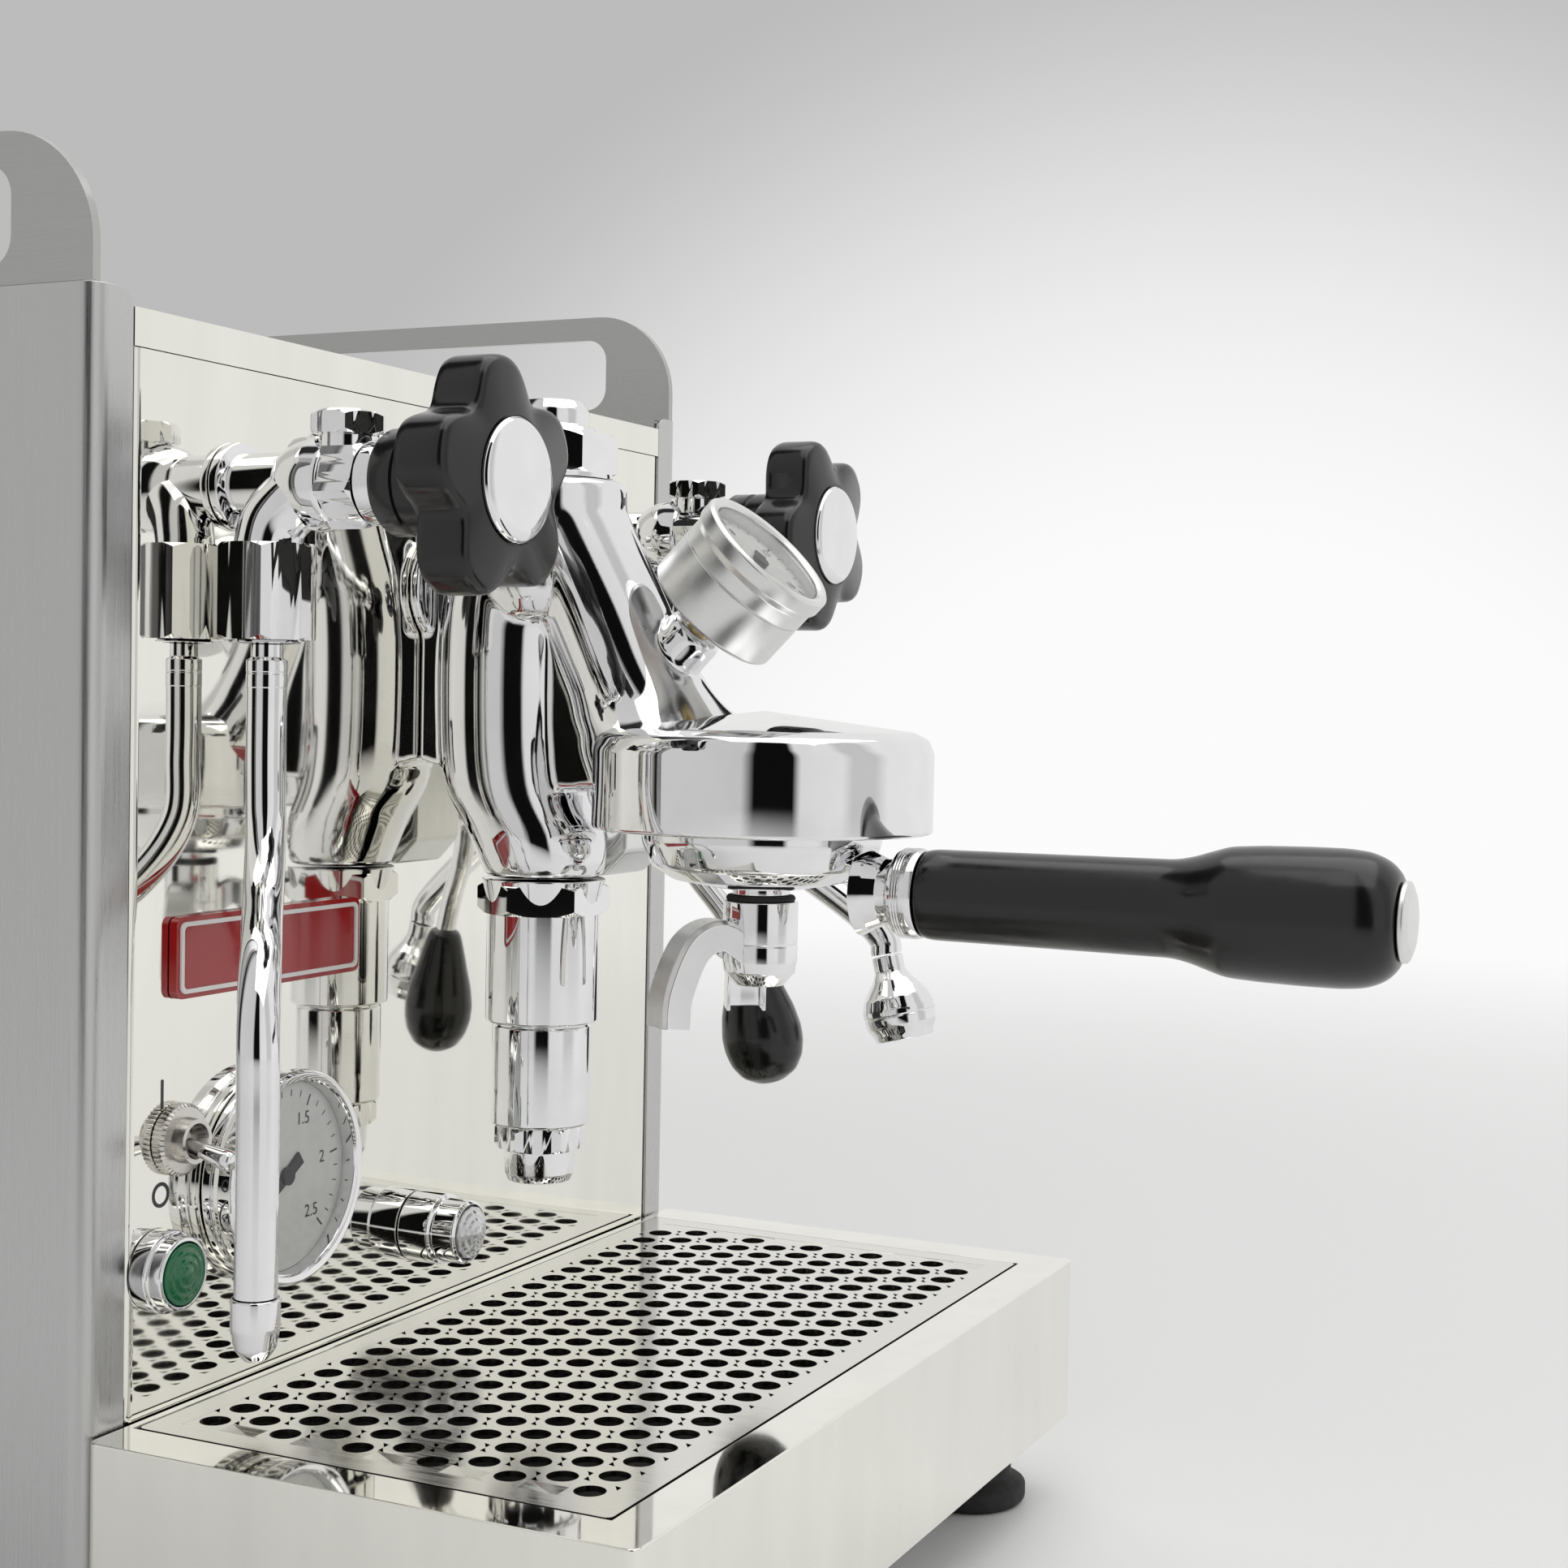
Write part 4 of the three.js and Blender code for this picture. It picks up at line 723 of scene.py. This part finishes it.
def spout():
    hub = turned([(0, 189), (7, 189), (10.5, 193), (11, 196), (11, 200.8), (10.7, 201.2), (11, 201.6),
                  (11, 213.8), (0, 213.8)], soft=0.4)
    seal = turned([(0, 213.7), (9.8, 213.7), (10.3, 214.6), (9.8, 215.5), (0, 215.5)], soft=0.2)

    def arm(side):
        def at(out, z):
            return (side * 0.83 * out, 0.56 * out, z)

        channel = [(-6, -5), (-6, 2.6), (-4.6, 3.8), (4.6, 3.8), (6, 2.6), (6, -5),
                   (4.9, -5), (4.9, 2.2), (4, 2.7), (-4, 2.7), (-4.9, 2.2), (-4.9, -5)]
        across = Vector((-0.56, side * 0.83, 0))
        return swept([at(6, 200), at(15, 205), at(24, 201), at(30, 188), at(31, 178)],
                     channel, 14, across)

    shape = shifted(joined(hub, arm(-1), arm(1)), 0, BELL_Y, 0)
    spouts = piece("twin_spout", CHROME, shape, "portafilter", ["double_spout"], bevel=0.3)
    satin_band(spouts)
    piece("spout_seal", RUBBER, shifted(seal, 0, BELL_Y, 0), "portafilter")


# ---------------------------------------------------------------- taps and wands

def tap_valve():
    at = (TAP_X, 0, TAP_Z)
    return joined(
        turned_to("-Y", rod(9, -22, 30), at),
        turned_to("-Y", turned([(0, 0.3), (12, 0.3), (12, 3), (9, 4), (0, 4)]), at),
        turned_to("-Y", turned([(0, 17), (9, 18), (11.4, 22.5), (12.6, 28), (12.4, 32), (12.2, 35.5),
                                (0, 35.5)], soft=2), at),
        turned_to("-Y", moved(hexagon(12.8, 34, 46), Matrix.Rotation(TAP_HEX_CLOCKING, 4, "Z")), at),
        shifted(rod(8, 5, 14), TAP_X, TAP_CAP_Y, TAP_Z),
        shifted(hexagon(11, 12.9, 18.6), TAP_X, TAP_CAP_Y, TAP_Z),
        pipe([(TAP_X, -31, TAP_Z - 1), (TAP_X + 2.5, -24, 325), (TAP_X + 4.4, -17.5, 319),
              (NUT_X, NUT_Y, 313), (NUT_X, NUT_Y, 309)], 9),
    )


def tap_bonnet():
    cone = joined(turned([(0, 46.3), (11, 46.3), (9.5, 51.8), (0, 52)]), rod(5, 50, 58))
    return turned_to("-Y", cone, (TAP_X, 0, TAP_Z))


def tap_knob(phase):
    """Five-lobed hand knob with a groove behind its lobes."""
    def star(offset):
        turn = math.radians(phase) + math.pi / 2
        return lambda angle: 32.3 - offset - 8.2 * (0.5 - 0.5 * math.cos(5 * (angle - turn))) ** 1.5

    def round_(radius):
        return lambda angle: radius

    rings = [
        (round_(5.4), 52.5), (round_(12.4), 52.5), (round_(13.6), 53), (round_(14.2), 54),
        (round_(14.2), 60), (round_(13.5), 60.5), (round_(13.5), 61.5), (round_(14.2), 62),
        (round_(14.4), 71.5), (round_(15.5), 72.9), (star(3.5), 73), (star(1.4), 73.1), (star(0.5), 73.7),
        (star(0.1), 74.8), (star(0), 76), (star(0), 84.6), (star(0.15), 86), (star(0.6), 87.1),
        (star(1.4), 87.9), (star(3), 88.4), (round_(17.9), 89.6), (round_(16.9), 89.9),
        (round_(16.5), 89.6), (round_(16.5), 89.1), (round_(0.01), 89.1),
    ]
    return turned_to("-Y", stacked(rings, 200), (TAP_X, 0, TAP_Z))


def knob_cap():
    rim = [(0, 89.3), (16.2, 89.3), (16.2, 90.4)]
    angles = [math.pi / 2 * i / 16 for i in range(17)]
    crown = [(15.9 * math.cos(a), 90.7 + 2.6 * math.sin(a)) for a in angles]
    dome = turned(rim + crown, 128, 0)
    return turned_to("-Y", dome, (TAP_X, 0, TAP_Z))


def union_nut():
    return shifted(joined(
        hexagon(14.2, 286.2, 312),
        turned([(6.4, 286.6), (8, 286.2), (9, 285.4), (6.4, 285.2)], soft=0.2),
    ), NUT_X, NUT_Y, 0)


def wand(route):
    ferrule = turned([(0, 273), (5.2, 273), (5.5, 273.4), (5.5, 277), (5.2, 277.3), (5.5, 277.6),
                      (5.5, 280.7), (4.3, 281.5), (4.3, 300), (0, 300)], soft=0.2)
    return joined(shifted(ferrule, NUT_X, NUT_Y, 0), pipe(route, 5.4, 14))


STEAM_FOOT = (150, -48.2)
STEAM_ROUTE = [
    (NUT_X, NUT_Y, 279), (NUT_X, NUT_Y, 255), (NUT_X + 1, NUT_Y - 1, 236), (NUT_X + 12, NUT_Y - 9, 219),
    (138, -39.2, 205), (149, -47.2, 189), (*STEAM_FOOT, 170), (*STEAM_FOOT, 122),
]
WATER_END = (136, -97.3, 184.5)
WATER_ROUTE = [
    (NUT_X, NUT_Y, 279), (NUT_X, NUT_Y, 262), (NUT_X + 2, NUT_Y - 4, 247), (116, -35, 232),
    (128, -62, 216), (134.5, -85, 200), (136, -95.7, 190.5), WATER_END,
]


def taps():
    knob_body = {"steam": "steam_knob", "hot_water": "hot_water_knob"}
    wand_body = {"steam": "steam_wand", "hot_water": "hot_water_wand"}
    for tap, route, phase, side in (("steam", STEAM_ROUTE, 180 - 98, mirrored),
                                    ("hot_water", WATER_ROUTE, 115, lambda shape: shape)):
        piece(tap + "_valve_casting", CHROME, side(tap_valve()), nodes=[tap + "_valve"])
        piece(tap + "_bonnet_cone", CHROME, side(tap_bonnet()), nodes=[tap + "_bonnet"])
        piece(tap + "_star", RESIN, side(tap_knob(phase)), knob_body[tap], [tap + "_knob"])
        piece(tap + "_dome", CHROME, side(knob_cap()), knob_body[tap], [tap + "_knob_cap"])
        piece(tap + "_hex", CHROME, side(union_nut()), nodes=[tap + "_union_nut"])
        piece(tap + "_pipe", CHROME, side(wand(route)), wand_body[tap], [tap + "_wand"])
    nozzle = turned([(0, 106), (3, 106), (5.2, 109), (6.2, 114), (6.2, 121.7), (0, 121.7)], soft=0.6)
    piece("steam_nozzle", CHROME, mirrored(shifted(nozzle, *STEAM_FOOT, 0)), "steam_wand",
          ["steam_tip"])
    bulb = turned([(0, 0.6), (5.4, 0.6), (5.4, 6), (7, 9), (9.4, 12), (11.5, 15), (12.6, 19), (12.6, 21),
                   (12.3, 21.4), (12.5, 21.8), (12.2, 25), (10.5, 28), (10, 30), (0, 30)], soft=0.6)
    lean = Matrix.Translation(WATER_END) @ Matrix.Rotation(math.radians(165), 4, "X")
    piece("water_aerator", CHROME, moved(bulb, lean), "hot_water_wand", ["hot_water_tip"])


# ---------------------------------------------------------------- switch, lamps and marks

def switch():
    at = (-123.5, 0, 152.4)

    def knurl(radius):
        return lambda angle: radius - 0.45 * (0.5 + 0.5 * math.cos(44 * angle))

    rings = [(lambda a: 0.01, 0.3), (lambda a: 9.2, 0.3), (knurl(9.8), 0.7), (knurl(9.8), 3.4),
             (lambda a: 8.8, 4.2), (lambda a: 6.2, 4.3), (lambda a: 6, 8), (lambda a: 4.8, 8),
             (lambda a: 3.2, 3.2), (lambda a: 0.01, 3.2)]
    piece("toggle_ring", SATIN, turned_to("-Y", stacked(rings, 264), at), nodes=["power_switch_nut"])
    bat = turned([(0, 4.2), (1.8, 4.2), (2, 9), (2.9, 18), (2.6, 20.3), (0, 21)], 48, 0.8)
    tilt = Matrix.Translation(at) @ Matrix.Rotation(math.radians(90), 4, "X") \
        @ Matrix.Rotation(math.radians(13), 4, "X")
    piece("toggle_bat", CHROME, moved(bat, tilt), "power_switch_lever", ["power_switch_lever"])


def marks():
    """On and off marks beside the switch."""
    bar = plate(rounded_rectangle(-0.5, -4, 0.5, 4, 0.3), 0.02, 0.12)
    loop = plate(circle(3.4, 48), 0.02, 0.12, [circle(2.4, 48)])
    piece("on_mark", INK, turned_to("-Y", bar, (-128.3, 0, 164.9)))
    piece("off_mark", INK, turned_to("-Y", loop, (-128.5, 0, 138.1)))


def lamp(name, node, x, z, reach, facets, lens):
    bezel = turned([(0, -16), (8, -16), (8, 0.3), (11, 0.3), (11, reach * 0.45), (10.4, reach * 0.47),
                    (9.8, reach * 0.5), (9.8, reach * 0.8), (8.6, reach * 0.84), (8.2, reach * 0.7),
                    (0, reach * 0.7)], soft=0.4)
    steps = [(8.1 - i * 1.1, reach * (0.86 + 0.018 * i) - (0.35 if i % 2 else 0)) for i in range(7)]
    glass = turned([(0, reach * 0.6), (8.1, reach * 0.6)] + steps + [(0, reach * 0.985)], facets, 0.3)
    piece(name + "_bezel", CHROME, turned_to("-Y", bezel, (x, 0, z)), nodes=[node])
    piece(name + "_lens", lens, turned_to("-Y", glass, (x, 0, z)))


# ---------------------------------------------------------------- what stays as the CAD has it

def dress_frame():
    """Better materials for the CAD nodes that stay."""
    dressed = {
        "filter_basket": SATIN, "shower_screen": SATIN, "group_gasket": RUBBER,
        "boiler_gauge_needle": INK, "group_gauge_needle": INK,
        "water_tank": TANK, "boiler": BRASS, "upper_circulation_pipe": COPPER,
        "lower_circulation_pipe": COPPER, "vibration_pump": BRASS, "control_box": CASING_GREY,
        "inlet_socket": RESIN,
    }
    for node, material in dressed.items():
        mesh_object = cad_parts[node]
        for entry in mesh_object.material_slots:
            entry.material = material


# ---------------------------------------------------------------- studio

CAMERA_AT = (-0.6168, -0.40185, 0.2742)
CAMERA_YAW, CAMERA_PITCH, CAMERA_ROLL = 25.14, 2.18, 1.16
GLOW_YAW = math.radians(14.6)
GLOW_DROP = -0.13


def camera():
    yaw, pitch, roll = (math.radians(v) for v in (CAMERA_YAW, CAMERA_PITCH, CAMERA_ROLL))
    look = Vector((math.cos(pitch) * math.cos(yaw), math.cos(pitch) * math.sin(yaw), -math.sin(pitch)))
    right = Vector((math.sin(yaw), -math.cos(yaw), 0))
    up = right.cross(look)
    level = math.cos(roll) * right + math.sin(roll) * up
    upright = -math.sin(roll) * right + math.cos(roll) * up
    data = bpy.data.cameras.new("camera")
    data.lens = 53.63
    data.sensor_width = 36
    data.clip_start = 0.02
    obj = bpy.data.objects.new("camera", data)
    obj.matrix_world = Matrix.Translation(CAMERA_AT) @ Matrix((level, upright, -look)).transposed().to_4x4()
    bpy.context.collection.objects.link(obj)
    bpy.context.scene.camera = obj


def softbox(name, at, towards, width, height, power, seen=True):
    data = bpy.data.lights.new(name, "AREA")
    data.shape = "RECTANGLE"
    data.size, data.size_y, data.energy = width, height, power
    obj = bpy.data.objects.new(name, data)
    obj.location = at
    obj.visible_glossy = seen
    obj.rotation_mode = "QUATERNION"
    obj.rotation_quaternion = (Vector(towards) - Vector(at)).to_track_quat("-Z", "Y")
    bpy.context.collection.objects.link(obj)


def fading_floor():
    """Pale floor that clears away from the machine into the backdrop."""
    material = surface("floor", (0.84, 0.84, 0.84), 0, 0.6, 0.03, EVEN, 1500, 0.01)
    tree = material.node_tree
    where = tree.nodes.new("ShaderNodeTexCoord")
    distance = tree.nodes.new("ShaderNodeVectorMath")
    distance.operation = "LENGTH"
    fade = tree.nodes.new("ShaderNodeMapRange")
    fade.interpolation_type = "SMOOTHSTEP"
    fade.inputs["From Min"].default_value = 0.45
    fade.inputs["From Max"].default_value = 2.2
    clear = tree.nodes.new("ShaderNodeBsdfTransparent")
    mix = tree.nodes.new("ShaderNodeMixShader")
    tree.links.new(where.outputs["Object"], distance.inputs[0])
    tree.links.new(distance.outputs["Value"], fade.inputs["Value"])
    tree.links.new(fade.outputs["Result"], mix.inputs["Fac"])
    tree.links.new(tree.nodes["Principled BSDF"].outputs["BSDF"], mix.inputs[1])
    tree.links.new(clear.outputs["BSDF"], mix.inputs[2])
    tree.links.new(mix.outputs["Shader"], tree.nodes["Material Output"].inputs["Surface"])
    return material


def studio():
    middle = (0, -0.05, 0.2)
    softbox("overhead", (0.1, -0.3, 1.7), middle, 1.8, 1.4, 9)
    softbox("left_bank", (-1.7, -0.5, 0.9), middle, 0.9, 1.5, 5, seen=False)
    softbox("front_bank", (0.9, -1.8, 0.8), middle, 1.5, 1.5, 7, seen=False)
    floor = bpy.data.meshes.new("floor")
    floor.from_pydata([(-20, -20, 0), (20, -20, 0), (20, 20, 0), (-20, 20, 0)], [], [(0, 1, 2, 3)])
    floor.materials.append(fading_floor())
    obj = bpy.data.objects.new("floor", floor)
    bpy.context.collection.objects.link(obj)

    world = bpy.data.worlds.new("studio")
    bpy.context.scene.world = world
    world.use_nodes = True
    tree = world.node_tree
    room = tree.nodes["Background"]
    where = tree.nodes.new("ShaderNodeTexCoord")
    turn = tree.nodes.new("ShaderNodeMapping")
    around = tree.nodes.new("ShaderNodeTexGradient")
    around.gradient_type = "RADIAL"
    cards = tree.nodes.new("ShaderNodeValToRGB")
    # Angle from the line of sight, anticlockwise from above, and how bright the room is there.
    room_levels = [(-180, 0.005), (-160, 0.005), (-155, 0.9), (-126, 0.95), (-118, 0.7), (-100, 0.7),
                   (-88, 1.0), (0, 1.0), (42, 0.9), (52, 0.03), (82, 0.03), (92, 0.75), (166, 0.7),
                   (174, 0.005), (180, 0.005)]
    stops = [(0.5 + angle / 360, level) for angle, level in room_levels]
    ramp = cards.color_ramp
    ramp.elements[0].position, ramp.elements[1].position = stops[0][0], stops[-1][0]
    for position, _ in stops[1:-1]:
        ramp.elements.new(position)
    for element, (_, level) in zip(ramp.elements, stops):
        element.color = (level, level, level * 0.99, 1)
    turn.inputs["Rotation"].default_value = (0, 0, math.radians(-CAMERA_YAW))
    tree.links.new(where.outputs["Generated"], turn.inputs["Vector"])
    tree.links.new(turn.outputs["Vector"], around.inputs["Vector"])
    tree.links.new(around.outputs["Color"], cards.inputs["Fac"])
    tree.links.new(cards.outputs["Color"], room.inputs["Color"])
    room.inputs["Strength"].default_value = 0.85

    plain = tree.nodes.new("ShaderNodeBackground")
    glow_at = tree.nodes.new("ShaderNodeVectorMath")
    glow_at.operation = "DOT_PRODUCT"
    glow_at.inputs[1].default_value = (math.cos(GLOW_YAW), math.sin(GLOW_YAW), GLOW_DROP)
    glow = tree.nodes.new("ShaderNodeValToRGB")
    glow.color_ramp.interpolation = "EASE"
    glow.color_ramp.elements[0].position = 0.90
    glow.color_ramp.elements[0].color = (0.50, 0.50, 0.50, 1)
    glow.color_ramp.elements[1].position = 0.998
    glow.color_ramp.elements[1].color = (0.97, 0.97, 0.97, 1)
    tree.links.new(where.outputs["Generated"], glow_at.inputs[0])
    tree.links.new(glow_at.outputs["Value"], glow.inputs["Fac"])
    tree.links.new(glow.outputs["Color"], plain.inputs["Color"])
    rays = tree.nodes.new("ShaderNodeLightPath")
    mix = tree.nodes.new("ShaderNodeMixShader")
    tree.links.new(rays.outputs["Is Camera Ray"], mix.inputs["Fac"])
    tree.links.new(room.outputs["Background"], mix.inputs[1])
    tree.links.new(plain.outputs["Background"], mix.inputs[2])
    tree.links.new(mix.outputs["Shader"], tree.nodes["World Output"].inputs["Surface"])
    bpy.context.scene.view_settings.view_transform = "Standard"


camera()
casing()
front_plate()
cup_rail()
badge()
tray()
group_casting()
bell()
group_column()
lever()
gauges()
portafilter()
spout()
taps()
switch()
marks()
lamp("power", "power_lamp", -130.5, 118.5, 12, 96, GREEN)
lamp("heating", "heating_lamp", -8, 106.2, 24, 12, CLEAR_LENS)
dress_frame()
studio()
